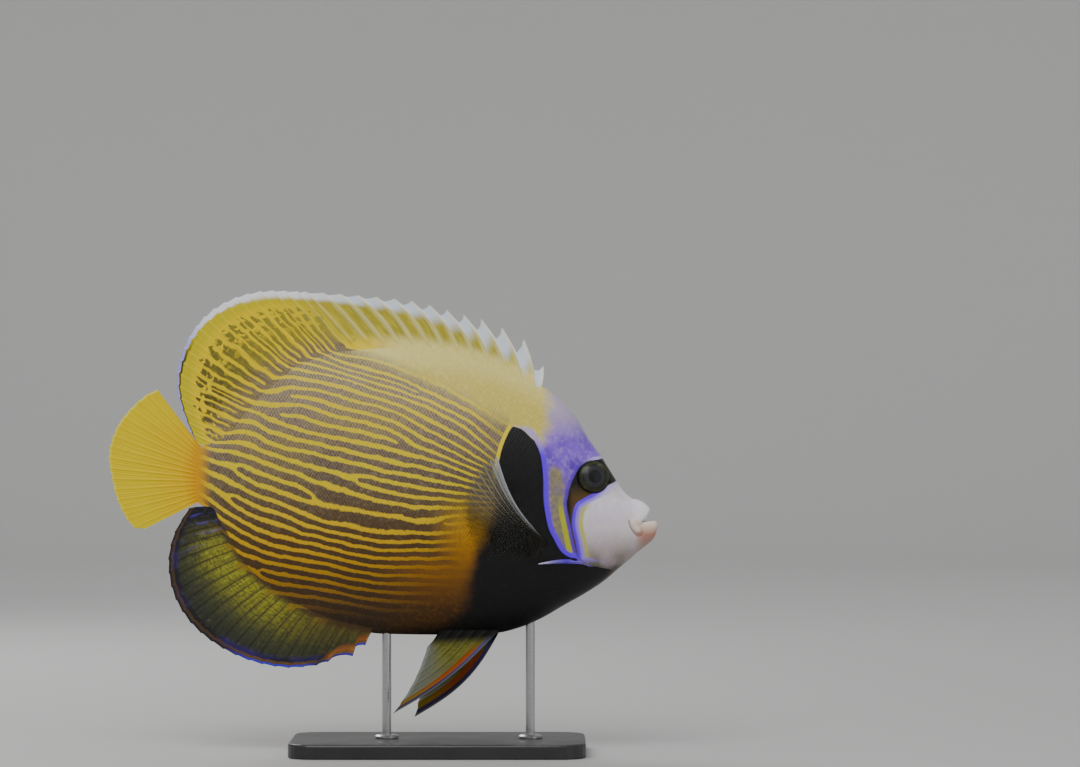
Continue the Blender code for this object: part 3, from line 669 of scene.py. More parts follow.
def scale_pattern(paint: Paint, across: float = 1.7, irregular: float = 0.22) -> Socket:
    """Height of small scales in staggered rows, 1 on their middles and 0 between them.

    Args:
        paint: the graph that the pattern is drawn in.
        across: width of a scale in millimetres.
        irregular: how far the scales stray from their rows.

    Returns:
        The height.
    """
    x = paint.over(paint.axis("X"), across)
    z = paint.over(paint.axis("Z"), across * 1.6)
    near = paint.cells(paint.vector(x, z), irregular)
    far = paint.cells(paint.vector(paint.plus(x, 0.5), paint.plus(z, 0.5)), irregular)
    return paint.fade(paint.maths("MINIMUM", near, far), 0.52, 0.1)


@dataclass(frozen=True)
class SkinFinish:
    """Linear colours of the body and head skin, and how wet it looks."""

    line: Colour = (0.80, 0.62, 0.001)
    line_gold: Colour = (0.80, 0.53, 0.001)
    line_orange: Colour = (0.64, 0.35, 0.002)
    line_low: Colour = (0.16, 0.07, 0.008)
    ground_high: Colour = (0.35, 0.26, 0.17)
    ground_middle: Colour = (0.17, 0.12, 0.08)
    ground_low: Colour = (0.056, 0.025, 0.004)
    belly: Colour = (0.016, 0.011, 0.005)
    nape: Colour = (0.68, 0.56, 0.095)
    nape_dull: Colour = (0.36, 0.28, 0.06)
    nape_light: Colour = (0.88, 0.78, 0.22)
    cream: Colour = (0.88, 0.78, 0.30)
    flank: Colour = (0.72, 0.46, 0.003)
    black: Colour = (0.0035, 0.0035, 0.004)
    blue: Colour = (0.14, 0.022, 0.95)
    violet: Colour = (0.10, 0.020, 0.52)
    purple: Colour = (0.27, 0.115, 0.74)
    lilac: Colour = (0.50, 0.38, 0.86)
    pale_violet: Colour = (0.50, 0.40, 0.66)
    white: Colour = (0.95, 0.93, 0.96)
    mauve: Colour = (0.88, 0.80, 0.92)
    olive: Colour = (0.24, 0.20, 0.12)
    lemon: Colour = (0.52, 0.52, 0.02)
    brown: Colour = (0.10, 0.052, 0.006)
    peach: Colour = (0.93, 0.72, 0.62)
    pink: Colour = (0.50, 0.24, 0.18)
    # painted shade: near black for the inside of the mouth, which lies in shade
    mouth: Colour = (0.02, 0.006, 0.005)
    roughness: float = 0.42

    def material(self) -> Material:
        """Material that lays the markings over each other, from the flank's ground to the lips.

        Returns:
            The material.
        """
        paint = Paint("angelfish_skin")
        scale, soft, fine = scale_pattern(paint), paint.noise(90.0, 3.0), paint.noise(420.0, 2.0)
        colour = self.flank_lines(paint, scale, fine)
        nape = self.nape_tone(paint, scale, fine, paint.fade(paint.field("from_back"), 17.0, 1.0, 0.0, 0.6))
        edge = paint.plus(paint.field("nape"), paint.swing(soft, 8.0))
        colour = paint.lay(colour, nape, edge, -5.0, 6.0)
        colour = self.bar(paint, colour, soft, fine)
        skin = self.head(paint, nape, soft, fine, scale)
        colour = paint.lay(colour, skin, paint.field("head"), -0.25, 0.25)
        normal = paint.relief(paint.times(scale, paint.field("scaled")), 0.2, 0.42)
        normal = paint.relief(fine, 0.05, 0.4, normal)
        wet = paint.fade(soft, 0.3, 0.7, self.roughness - 0.06, self.roughness + 0.08)
        return paint.finish(
            Base_Color=colour, Roughness=wet, Normal=normal, Coat_Weight=0.09, Coat_Roughness=0.2,
            Specular_IOR_Level=0.26,
        )

    def nape_tone(self, paint: Paint, scale: Socket, fine: Socket, cream: Socket) -> Socket:
        """Colour of the nape, a dull yellow that turns to cream by a share."""
        dull = paint.lay(self.nape, self.nape_dull, scale, 0.0, 0.9, 0.35, 0.0)
        return paint.mix(cream, paint.lay(dull, self.nape_light, fine, 0.45, 0.8, 0.0, 0.45), self.cream)

    def ground(self, paint: Paint, scale: Socket, fine: Socket) -> Socket:
        """Ground between the lines, mauve grey above and dark brown below, with a dot on each scale.

        The fall towards the dark belly is partly the skin's own colour and partly painted shade.

        Args:
            paint: graph it is drawn in.
            scale: height of the scales.
            fine: fine noise.

        Returns:
            The colour.
        """
        z, warm = paint.axis("Z"), paint.field("warm")
        # painted shade in part: the ground darkens towards the belly as if lit from above, over its own
        # browner tone below
        tone = paint.ramp(z, (
            (64.0, self.belly), (82.0, self.ground_low), (116.0, (0.10, 0.048, 0.010)),
            (134.0, (0.13, 0.08, 0.038)), (152.0, self.ground_middle),
            (190.0, self.ground_high), (218.0, (0.34, 0.27, 0.11)),
        ))
        patches = paint.times(paint.fade(paint.noise(26.0, 2.0), 0.45, 0.62), paint.fade(z, 120.0, 185.0))
        tone = paint.mix(paint.times(patches, 0.5), tone, (0.42, 0.31, 0.10))
        tone = paint.mix(paint.times(warm, 0.75), tone, (0.06, 0.026, 0.005))
        tone = paint.lay(tone, (0.045, 0.032, 0.022), scale, 0.1, 0.9, 0.6, 0.0)
        speck = paint.times(paint.fade(fine, 0.45, 0.8), paint.fade(z, 95.0, 165.0, 0.05, 0.4))
        return paint.mix(speck, tone, (0.40, 0.32, 0.20))

    def flank_lines(self, paint: Paint, scale: Socket, fine: Socket) -> Socket:
        """Yellow lines on their ground: bright yellow above, orange below, brown towards the chest.

        Both lines and flank fall to near black at the belly, partly as painted shade.

        Args:
            paint: graph it is drawn in.
            scale: height of the scales.
            fine: fine noise.

        Returns:
            The colour.
        """
        z = paint.axis("Z")
        number = paint.field("line")
        for fx, fz, sign in Lines.forks:
            turn = paint.maths("ARCTAN2", paint.minus(z, fz), paint.minus(paint.axis("X"), fx))
            number = paint.times_plus(turn, sign / (2 * math.pi), number)
        number = paint.plus(number, line_wave(paint))
        ragged = paint.swing(paint.noise(520.0, 2.0), 0.22)
        ragged = paint.times_plus(paint.noise(30.0, 1.0), 0.10, ragged)
        ragged = paint.plus(ragged, paint.minus(paint.field("line_half"), 0.052))
        odd = paint.fade(paint.maths("PINGPONG", paint.field("line"), 1.0), 0.3, 0.7)
        odd = paint.times(odd, paint.fade(paint.field("line"), 5.5, 3.5))
        ragged = paint.times_plus(odd, -0.06, ragged)
        off = paint.minus(paint.off_whole(number), ragged)
        cover = paint.times(paint.fade(off, 0.055, -0.055), paint.field("line_gain"))
        # painted shade in part: the lines' colour falls to dark brown and near black towards the belly, as if
        # lit from above
        tone = paint.ramp(z, (
            (68.0, (0.07, 0.035, 0.006)), (80.0, self.line_low), (94.0, (0.40, 0.20, 0.003)),
            (108.0, self.line_orange), (128.0, self.line_gold),
            (152.0, self.line), (220.0, self.line),
        ))
        tone = paint.mix(paint.times(paint.field("warm"), 0.85), tone, (0.34, 0.15, 0.003))
        tone = paint.lay(tone, (0.42, 0.24, 0.004), scale, 0.0, 0.7, 0.3, 0.0)
        colour = paint.mix(cover, self.ground(paint, scale, fine), tone)
        # painted shade in part: the orange flank also darkens towards the belly, as if lit from above
        flank = paint.ramp(z, (
            (78.0, (0.06, 0.025, 0.003)), (92.0, (0.20, 0.075, 0.002)), (106.0, (0.42, 0.17, 0.002)),
            (120.0, (0.62, 0.30, 0.002)), (140.0, self.flank),
        ))
        flank = paint.lay(flank, (0.24, 0.085, 0.003), fine, 0.45, 0.75, 0.0, 0.5)
        flank = paint.lay(flank, (0.16, 0.06, 0.003), scale, 0.0, 0.8, 0.4, 0.0)
        low = paint.times(paint.fade(z, 113.0, 96.0, 0.0, 0.8), paint.fade(paint.axis("X"), -12.0, 34.0))
        colour = paint.mix(paint.larger(paint.field("orange"), low), colour, flank)
        return paint.mix(paint.field("stalk"), colour, (0.70, 0.34, 0.002))

    def bar(self, paint: Paint, colour: Socket, soft: Socket, fine: Socket) -> Socket:
        """Lay the black bar and chest over the flank, with a yellow line down the bar's rear edge.

        Args:
            paint: graph it is drawn in.
            colour: colour of the flank.
            soft: soft noise.
            fine: fine noise.

        Returns:
            The colour.
        """
        x, z, depth = paint.axis("X"), paint.axis("Z"), paint.field("dark")
        chest = paint.lay(self.black, (0.014, 0.013, 0.007), fine, 0.45, 0.8, 0.0, 0.5)
        edge = paint.fade(paint.plus(depth, paint.swing(soft, 8.0)), -6.0, 4.0)
        sharp = paint.fade(depth, -0.3, 0.3)
        dark = paint.mix(paint.lay(edge, sharp, z, 134.0, 152.0), colour, chest)
        rim = paint.times(
            paint.band(depth, -1.9, -0.3, 0.4), paint.fade(z, 146.0, 156.0), paint.fade(x, 71.5, 69.0)
        )
        dark = paint.mix(rim, dark, (0.86, 0.66, 0.01))
        front = paint.times(
            paint.band(depth, -5.0, -0.3, 0.4), paint.fade(x, 72.5, 75.5), paint.fade(z, 150.0, 156.0)
        )
        return paint.mix(front, dark, self.pale_violet)

    def head(self, paint: Paint, nape: Socket, soft: Socket, fine: Socket, scale: Socket) -> Socket:
        """Colour of the head: purple, gill cover, mask, cheek, muzzle and lips.

        Args:
            paint: the graph they are drawn in.
            nape: colour of the nape, which the purple fades into.
            soft: soft noise.
            fine: fine noise.
            scale: height of the scales.

        Returns:
            The colour.
        """
        x, z, from_edge = paint.axis("X"), paint.axis("Z"), paint.field("head")
        purple = paint.lay(self.purple, self.violet, soft, 0.35, 0.7, 0.0, 0.85)
        purple = paint.lay(purple, self.lilac, fine, 0.4, 0.85, 0.0, 0.6)
        purple = paint.lay(purple, self.violet, scale, 0.1, 0.8, 0.25, 0.0)
        purple = paint.lay(purple, (0.54, 0.46, 0.54), z, 166.0, 188.0, 0.0, 0.85)
        flecks = paint.times(paint.fade(paint.noise(95.0, 3.0), 0.58, 0.72), paint.fade(z, 156.0, 168.0))
        purple = paint.mix(paint.times(flecks, 0.55), purple, (0.62, 0.52, 0.22))
        blend = paint.plus(paint.field("purple"), paint.swing(soft, 14.0))
        skin = paint.lay(nape, purple, blend, -5.0, 5.0)
        centre = paint.lay(self.olive, (0.36, 0.32, 0.09), fine, 0.4, 0.66)
        centre = paint.lay(centre, (0.24, 0.19, 0.24), soft, 0.35, 0.65, 0.0, 0.8)
        skin = paint.lay(skin, centre, paint.field("gill_centre"), -2.4, 2.2)
        mask = paint.field("mask")
        front = paint.times(paint.band(mask, -4.2, -2.4, 0.9), paint.fade(z, 142.0, 128.0))
        skin = paint.mix(front, skin, self.lemon)
        by_eye = paint.times(paint.fade(x, 105.0, 115.0), paint.fade(z, 150.0, 157.0))
        rim = paint.mix(by_eye, self.violet, (0.66, 0.58, 0.95))
        skin = paint.mix(paint.times(paint.band(mask, -1.0, -0.3, 1.2), 0.8), skin, rim)
        near_gill = paint.times(
            paint.band(from_edge, -1.0, 2.2, 1.2), paint.fade(z, 179.0, 175.5), paint.fade(x, 109.0, 105.0)
        )
        gill_edge = paint.lay(self.blue, self.pale_violet, z, 161.0, 172.0)
        skin = paint.mix(near_gill, skin, gill_edge)
        profile = paint.times(paint.fade(paint.field("from_back"), 2.5, 0.3), paint.fade(x, 84.0, 96.0))
        skin = paint.mix(paint.times(profile, 0.3), skin, (0.60, 0.54, 0.80))
        rear = paint.times(paint.fade(z, 148.0, 137.0), paint.fade(x, 100.0, 103.5))
        dark = paint.mix(rear, self.black, self.brown)
        dark = paint.lay(dark, (0.07, 0.05, 0.01), fine, 0.5, 0.8, 0.0, 0.4)
        skin = paint.lay(skin, dark, mask, -0.35, 0.35)
        under = paint.times(paint.fade(z, 108.0, 105.5), paint.fade(x, 111.0, 115.0))
        skin = paint.mix(under, skin, self.black)
        return paint.lay(skin, self.muzzle(paint, soft, fine), paint.field("cheek"), -0.3, 0.3)

    def muzzle(self, paint: Paint, soft: Socket, fine: Socket) -> Socket:
        """Cheek and muzzle, white above and grey brown below, in a blue border with a yellow line in it.

        The darkening towards the bottom is partly painted shade that models the muzzle's rounded form.

        Args:
            paint: graph it is drawn in.
            soft: soft noise.
            fine: fine noise.

        Returns:
            The colour.
        """
        x, z, depth = paint.axis("X"), paint.axis("Z"), paint.field("cheek")
        # painted shade in part: white at the top to dark grey brown at the bottom, to model the muzzle's
        # rounded form
        tone = paint.ramp(z, (
            (97.0, (0.03, 0.028, 0.02)), (102.0, (0.12, 0.108, 0.085)), (108.0, (0.31, 0.275, 0.235)),
            (114.0, (0.52, 0.46, 0.45)), (122.0, (0.76, 0.69, 0.73)), (132.0, self.mauve),
            (142.0, self.white),
        ))
        tone = paint.lay(tone, (0.72, 0.56, 0.68), soft, 0.42, 0.75, 0.0, 0.4)
        mottle, upper = paint.noise(210.0, 3.0), paint.fade(z, 106.0, 122.0)
        for share, spot in (
            (paint.fade(mottle, 0.48, 0.7, 0.0, 0.3), (0.62, 0.50, 0.74)),
            (paint.fade(mottle, 0.5, 0.32, 0.0, 0.3), (0.82, 0.70, 0.60)),
            (paint.fade(fine, 0.5, 0.8, 0.0, 0.25), (0.90, 0.86, 0.92)),
        ):
            tone = paint.mix(paint.times(share, upper), tone, spot)
        inner = paint.times(paint.band(depth, 4.0, 5.4, 1.2), paint.fade(x, 114.0, 108.5))
        tone = paint.mix(paint.times(inner, 0.9), tone, (0.60, 0.57, 0.07))
        border = paint.times(paint.fade(x, 127.0, 112.0, 0.12, 1.0), paint.fade(z, 103.5, 107.5))
        tone = paint.mix(paint.times(paint.fade(depth, 4.6, 2.8), border), tone, (0.36, 0.24, 0.95))
        tone = paint.mix(paint.times(paint.fade(depth, 2.6, 1.0), border), tone, self.blue)
        fold = paint.field("fold")
        tone = paint.lay(tone, self.peach, fold, 0.25, 0.85)
        # painted shadow: dark brown laid in the groove behind and below the raised fold
        tone = paint.lay(tone, (0.30, 0.17, 0.11), fold, -0.2, -0.8, 0.0, 0.75)
        lip = paint.field("lip")
        low = paint.ramp(z, (
            (106.0, (0.30, 0.25, 0.22)), (113.0, (0.42, 0.30, 0.26)), (119.0, self.pink),
            (123.5, (0.80, 0.62, 0.48)), (126.0, (0.92, 0.86, 0.74)),
        ))
        low = paint.lay(low, (0.44, 0.18, 0.13), soft, 0.45, 0.7, 0.0, 0.5)
        tint = paint.lay(self.white, low, z, 127.2, 126.0)
        tone = paint.lay(tone, tint, lip, 0.0, 0.35)
        tone = paint.lay(tone, self.peach, fold, 0.25, 0.85)
        # painted shade: the inside of the mouth, past the lips, is laid near black
        return paint.lay(tone, self.mouth, lip, 1.0, 1.1)


@dataclass
class Skin:
    """One skin over head, trunk, tail stalk and jaws, with a gill slit, orbits, nostrils and lips."""

    shape: FishShape
    lines: Lines
    marks: Markings
    finish: SkinFinish
    around: int = 300
    trunk_rings: int = 156
    head_rings: int = 84
    mouth_rings: int = 40
    upper_lip: Points = (
        (135.3, 138.2), (138.8, 137.5), (141.8, 136.0), (144.4, 133.7), (145.0, 132.2), (144.6, 130.8),
        (143.8, 129.2), (143.4, 127.6), (142.2, 126.5), (137.0, 126.2),
    )
    lower_lip: Points = (
        (135.3, 106.6), (138.7, 109.6), (143.2, 113.0), (146.2, 115.6), (147.8, 118.2), (148.9, 121.1),
        (149.0, 124.6), (148.0, 126.0), (144.6, 125.7), (137.0, 125.5),
    )
    mouth_corner: Points = (
        (135.3, 10.8, 122.4), (136.9, 10.4, 123.0), (138.2, 9.6, 123.6), (139.3, 8.6, 124.2),
        (139.9, 7.6, 124.8), (139.6, 6.6, 125.4), (138.6, 5.4, 125.7), (136.0, 4.4, 125.9),
    )
    nostrils: Points = ((125.4, 146.2, 0.8, 1.1), (122.6, 148.2, 0.6, 0.8))
    fold: tuple[float, float, float, float, float] = (137.3, 124.0, 0.42, 5.6, 2.7)

    def levels(self) -> tuple[Array, Array]:
        """Level h and side of every point round a ring, from the back down the right and up the left."""
        turn = np.linspace(0, 2 * math.pi, self.around, endpoint=False) + math.pi / self.around
        return np.cos(turn), -np.sign(np.sin(turn))

    def sections(self) -> tuple[Array, Array, Array]:
        """Stations, levels and half widths of the rings from the tail to the muzzle.

        Behind the gill cover the rings share out the way from the tail to its edge. At the edge five
        rings fold in under the cover and out again, by an amount that fades towards nape and throat,
        and in front of it the rings share out the way to the muzzle.

        Returns:
            The three, by ring and point.
        """
        h, _ = self.levels()
        gill = self.shape.gill_station(h)
        rear = np.linspace(0, 1, self.trunk_rings)[:, None]
        trunk_x = self.shape.tail_end + (gill - 0.6 - self.shape.tail_end) * rear
        trunk_y = self.shape.half_width(trunk_x, h[None])
        z = self.shape.height(gill, h)
        amount = self.shape.gill_share(z)
        folds = (
            (-0.40, 1.9, -0.30), (-0.30, 2.0, 0.05), (-0.20, 0.45, 0.35), (-0.10, 0.0, 0.72),
            (0.10, 0.35, 1.0),
        )
        fold_x = np.stack([gill + flat + (deep - flat) * amount for flat, deep, _ in folds])
        bare = self.shape.half_width(fold_x, np.broadcast_to(h, fold_x.shape))
        rise = np.array([out for _, _, out in folds])[:, None]
        fold_y = bare + rise * amount * (1 - np.abs(h) ** 6)
        front = np.linspace(0, 1, self.head_rings)[:, None] ** 0.9
        head_start = gill + 0.8
        head_x = head_start + (self.shape.muzzle - head_start) * front
        head_y = self.shape.head_half_width(head_x, np.broadcast_to(h, head_x.shape))
        x = np.vstack((trunk_x, fold_x, head_x))
        return x, np.broadcast_to(h, x.shape), np.vstack((trunk_y, fold_y, head_y))

    def mouth(self) -> Array:
        """Rings from the muzzle round the lips into the mouth.

        Each ring's point is read between three lines drawn over the upper lip, the lower lip and the
        corner of the mouth: cosine of the turn towards the lips, and sine to the section's power
        towards the corner.

        Returns:
            The points, by ring and place round it.
        """
        h, side = self.levels()
        count = self.mouth_rings + 1
        top = smooth_path(self.upper_lip, count)[1:, None]
        low = smooth_path(self.lower_lip, count)[1:, None]
        corner = smooth_path(self.mouth_corner, count)[1:, None]
        lip = np.where((h > 0)[None, :, None], top, low)
        towards = np.abs(h)[None]
        x = corner[..., 0] + (lip[..., 0] - corner[..., 0]) * towards**1.1
        z = corner[..., 2] + (lip[..., 1] - corner[..., 2]) * towards
        across = np.clip(1 - h * h, 0, 1) ** float(self.shape.squareness.at(self.shape.muzzle))
        edge = self.shape.edge_half * np.linspace(1, 0.5, self.mouth_rings)[:, None]
        y = edge * (1 - across) + corner[..., 1] * across
        return np.stack((x, y * side, z), axis=-1)

    def fold_share(self, x: Array, z: Array) -> Array:
        """Place on the fold at the mouth's corner: 1 on it, 0 at its rim and -1 in the groove round it.

        The fold is an ellipse that leans back, and its groove lies behind it and below it only.

        Args:
            x: stations.
            z: heights.

        Returns:
            The places.
        """
        cx, cz, lean, long, short = self.fold
        along = (x - cx) * lean - (z - cz) * math.sqrt(1 - lean**2)
        across = (x - cx) * math.sqrt(1 - lean**2) + (z - cz) * lean
        reach = np.hypot(along / long, across / short)
        behind = smooth_step(-across / short + 0.9 * along / long, -0.25, 0.4)
        return smooth_step(-reach, -1.02, -0.45) - behind * bump(reach - 1.13, 0.16)

    def reliefs(self, x: Array, z: Array) -> Array:
        """Height in millimetres of the small forms on the side of the head.

        Nostrils are bells below the surface with a low wall round them, the fold stands out with a
        groove behind it, and the surface drops away inside the eye's rim.

        Args:
            x: stations.
            z: heights.

        Returns:
            The heights.
        """
        ex, _, ez = self.shape.eye
        from_eye = np.hypot(x - ex, z - ez)
        out = 0.4 * bump(from_eye - 10.2, 1.0) - 3.4 * smooth_step(-from_eye, -8.9, -7.4)
        for nx, nz, wide, deep in self.nostrils:
            away = np.hypot(x - nx, z - nz)
            out = out + 0.35 * bump(away - 1.6 * wide, 0.6) - deep * bump(away, wide)
        share = self.fold_share(x, z)
        return out + np.where(share > 0, 1.1, 0.6) * share

    def build(self) -> Piece:
        """Make the skin, with its markings' distances as fields, and dress it.

        Returns:
            The piece.
        """
        x, h, y = self.sections()
        side = self.levels()[1]
        z = self.shape.height(x, h)
        body = np.stack((x, y * side, z), axis=-1)
        rings = np.concatenate((body, self.mouth()))
        lip = np.concatenate((np.zeros(len(body)), np.linspace(0, 1.35, self.mouth_rings)))[:, None]
        lip = np.broadcast_to(lip, rings.shape[:2])
        over = smooth_step(rings[..., 0], 96, 100) * smooth_step(-lip, -0.8, -0.5)
        fields = self.fields(rings, lip)
        fields["fold"] = self.fold_share(rings[..., 0], rings[..., 2]) * over
        rings[..., 1] += side * self.reliefs(rings[..., 0], rings[..., 2]) * over
        made = Surface("skin", rings, fields).build()
        made.data.materials.append(self.finish.material())
        return made

    def fields(self, rings: Array, lip: Array) -> dict[str, Array]:
        """Distances and shares that the skin's material reads, worked out at every point.

        Args:
            rings: points of the skin.
            lip: way round the lips into the mouth, 0 on the body.

        Returns:
            The fields by name.
        """
        x, z = rings[..., 0], rings[..., 2]
        patches = {name: patch.depth(x, z) for name, patch in vars(self.marks).items()}
        chest = smooth_step(x, 22, 50) * smooth_step(-z, -146, -122)
        low = smooth_step(z, 70, 86) * (1 - smooth_step(x, 5, 45) * smooth_step(-z, -98, -84))
        near_bar = smooth_step(x, 50, 62) * smooth_step(z, 128, 150)
        return patches | {
            "line": self.lines.number(x, z),
            "line_gain": low * (1 - 0.55 * near_bar) * (1 - 0.7 * chest),
            "line_half": np.clip(1.3 / self.lines.spacing(x, z), 0.12, 0.2),
            "warm": smooth_step(x, -10, 45) * smooth_step(-z, -132, -96),
            "orange": chest * 0.9 * smooth_step(z, 84, 104),
            "stalk": smooth_step(-x, 92, 101),
            "from_back": self.shape.back.at(x) - z,
            "lip": lip,
            "scaled": 1 - 0.85 * smooth_step(patches["head"], -1, 1) * smooth_step(x, 100, 112),
        }


@dataclass(frozen=True)
class FinFinish:
    """Finish of a fin, drawn from its fields: ray number, reach, depth in and distance from its edge."""

    name: str
    roughness: float = 0.4
    gloss: float = 0.32
    coat: float = 0.1

    def material(self) -> Material:
        """Material of the fin, which each kind of fin draws in its own way."""
        raise NotImplementedError

    def rays(self, paint: Paint, branch: Value = 1.0, wide: float = 0.2) -> Socket:
        """Height of the rays, which split in two and again in two towards the free edge.

        Args:
            paint: the graph they are drawn in.
            branch: how strongly the branches show.
            wide: half width of a ray as a share of the way to the next one.

        Returns:
            The height.
        """
        ray, reach = paint.field("ray"), paint.field("reach")
        total = paint.fade(paint.off_whole(ray), wide, 0.0)
        for times, low, high, share in ((2.0, 0.2, 0.45, 0.7), (4.0, 0.5, 0.75, 0.5)):
            off = paint.off_whole(paint.times(ray, times))
            one = paint.times(paint.fade(off, 0.25, 0.0), paint.fade(reach, low, high, 0.0, share))
            total = paint.larger(total, paint.times(one, branch))
        return total

    def streaks(self, paint: Paint, fineness: float = 3.0) -> Socket:
        """Noise drawn out along the rays."""
        ray, reach = paint.field("ray"), paint.field("reach")
        return paint.noise(1.0, 3.0, 0.6, paint.vector(paint.times(ray, fineness), paint.times(reach, 2.5)))

    def close(
        self, paint: Paint, colour: Socket, rays: Socket, scale: Socket | None = None, alpha: Value = 1.0
    ) -> Material:
        """Close the graph with the fin's relief: rays, scales near the root and a fine grain.

        Args:
            paint: the graph that is closed.
            colour: colour of the fin.
            rays: height of the rays.
            scale: height of the scales, where the fin has any.
            alpha: how solid the fin looks, from 0 to 1.

        Returns:
            The material.
        """
        normal = paint.relief(rays, 0.2, 0.8)
        if scale is not None:
            scaled = paint.times(scale, paint.fade(paint.field("depth"), 14.0, -1.0))
            normal = paint.relief(scaled, 0.2, 0.42, normal)
        normal = paint.relief(paint.noise(500.0, 2.0), 0.05, 0.4, normal)
        return paint.finish(
            Base_Color=colour, Roughness=self.roughness, Normal=normal, Coat_Weight=self.coat,
            Coat_Roughness=0.2, Specular_IOR_Level=self.gloss, Alpha=alpha,
        )


@dataclass(frozen=True)
class DorsalFinish(FinFinish):
    """Dorsal fin: white spiny part over olive, and body lines that run out into a yellow soft part."""

    gloss: float = 0.16
    coat: float = 0.04
    yellow: Colour = (0.62, 0.50, 0.004)
    line: Colour = (0.82, 0.60, 0.004)
    blob: Colour = (0.11, 0.086, 0.024)
    blob_front: Colour = (0.34, 0.29, 0.035)
    base: Colour = (0.24, 0.175, 0.10)
    spiny: Colour = (0.40, 0.34, 0.035)
    violet: Colour = (0.42, 0.40, 0.92)
    spine: Colour = (0.92, 0.90, 0.80)
    web: Colour = (0.74, 0.82, 0.92)
    white: Colour = (0.94, 0.95, 0.98)

    def material(self) -> Material:
        """Material of the dorsal fin.

        Returns:
            The material.
        """
        paint = Paint(self.name)
        depth, rim, front, pale = (paint.field(name) for name in ("depth", "rim", "front", "pale"))
        rays, scale = self.rays(paint, paint.fade(front, 0.5, 0.0)), scale_pattern(paint)
        fine, net, ray = paint.noise(520.0, 2.0), paint.noise(190.0, 2.0), paint.field("ray")
        main = paint.off_whole(paint.plus(paint.field("line"), line_wave(paint)))
        margin = paint.fade(paint.times_plus(net, 8.0, rim), 18.5, 10.5, 0.0, 0.42)
        wide = paint.plus(paint.times_plus(net, 0.22, 0.02), margin)
        between = paint.minus(0.5, main)
        second = paint.fade(paint.minus(depth, paint.times(net, 9.0)), -8.0, -1.0, -0.1, 0.07)
        second = paint.plus(second, paint.times(margin, 0.9))
        second = paint.plus(second, paint.swing(fine, 0.06))
        cover = paint.larger(paint.minus(wide, main), paint.minus(second, between))
        along = paint.vector(paint.times(ray, 1.1), paint.over(rim, 3.6))
        cross = paint.fade(paint.noise(1.0, 1.0, 0.5, along), 0.52, 0.60)
        cross = paint.times(cross, paint.fade(rim, 34.0, 18.0))
        cover = paint.larger(paint.fade(cover, -0.05, 0.05), cross)
        blob = paint.lay(self.blob, self.blob_front, ray, 29.0, 17.0)
        ground = paint.lay(self.base, blob, depth, 3.0, 16.0)
        ground = paint.lay(ground, (0.36, 0.30, 0.05), fine, 0.45, 0.75, 0.0, 0.5)
        ground = paint.lay(ground, (0.06, 0.045, 0.015), scale, 0.1, 0.9, 0.3, 0.0)
        lined = paint.lay(self.line, self.yellow, rim, 12.0, 6.0)
        lined = paint.mix(paint.times(rays, paint.fade(rim, 14.0, 6.0, 0.0, 0.4)), lined, (0.78, 0.68, 0.05))
        soft = paint.mix(cover, ground, lined)
        spiny = paint.lay(self.spiny, (0.56, 0.48, 0.05), self.streaks(paint), 0.4, 0.65)
        spines = paint.fade(paint.off_whole(ray), 0.26, 0.08)
        shown = paint.times(spines, paint.fade(front, 0.4, 1.0, 0.3, 0.6))
        spiny = paint.mix(shown, spiny, (0.80, 0.74, 0.36))
        cream = paint.fade(self.streaks(paint, 8.0), 0.3, 0.7, 0.35, 0.75)
        sheath = SkinFinish().nape_tone(paint, scale, fine, cream)
        spiny = paint.lay(spiny, paint.mix(paint.field("nape"), soft, sheath), depth, 9.0, 1.0)
        colour = paint.lay(soft, spiny, front, 0.0, 0.85)
        web = paint.mix(spines, self.web, self.spine)
        web = paint.lay(web, self.white, front, 0.9, 0.4)
        web = paint.lay(web, self.violet, ray, 21.0, 26.0)
        inner = paint.plus(pale, paint.swing(self.streaks(paint), 0.7))
        hard, loose = paint.fade(inner, 1.1, 0.9), paint.fade(inner, 1.5, 0.5)
        edge = paint.lay(hard, loose, ray, 22.0, 17.0)
        edge = paint.lay(edge, paint.fade(inner, 1.35, 0.5), front, 0.0, 0.4)
        colour = paint.mix(edge, colour, web)
        thin = paint.times(paint.band(pale, 1.15, 1.6, 0.3), paint.fade(ray, 23.0, 26.0))
        colour = paint.mix(paint.times(thin, 0.9), colour, (0.02, 0.02, 0.012))
        return self.close(paint, colour, rays, scale)


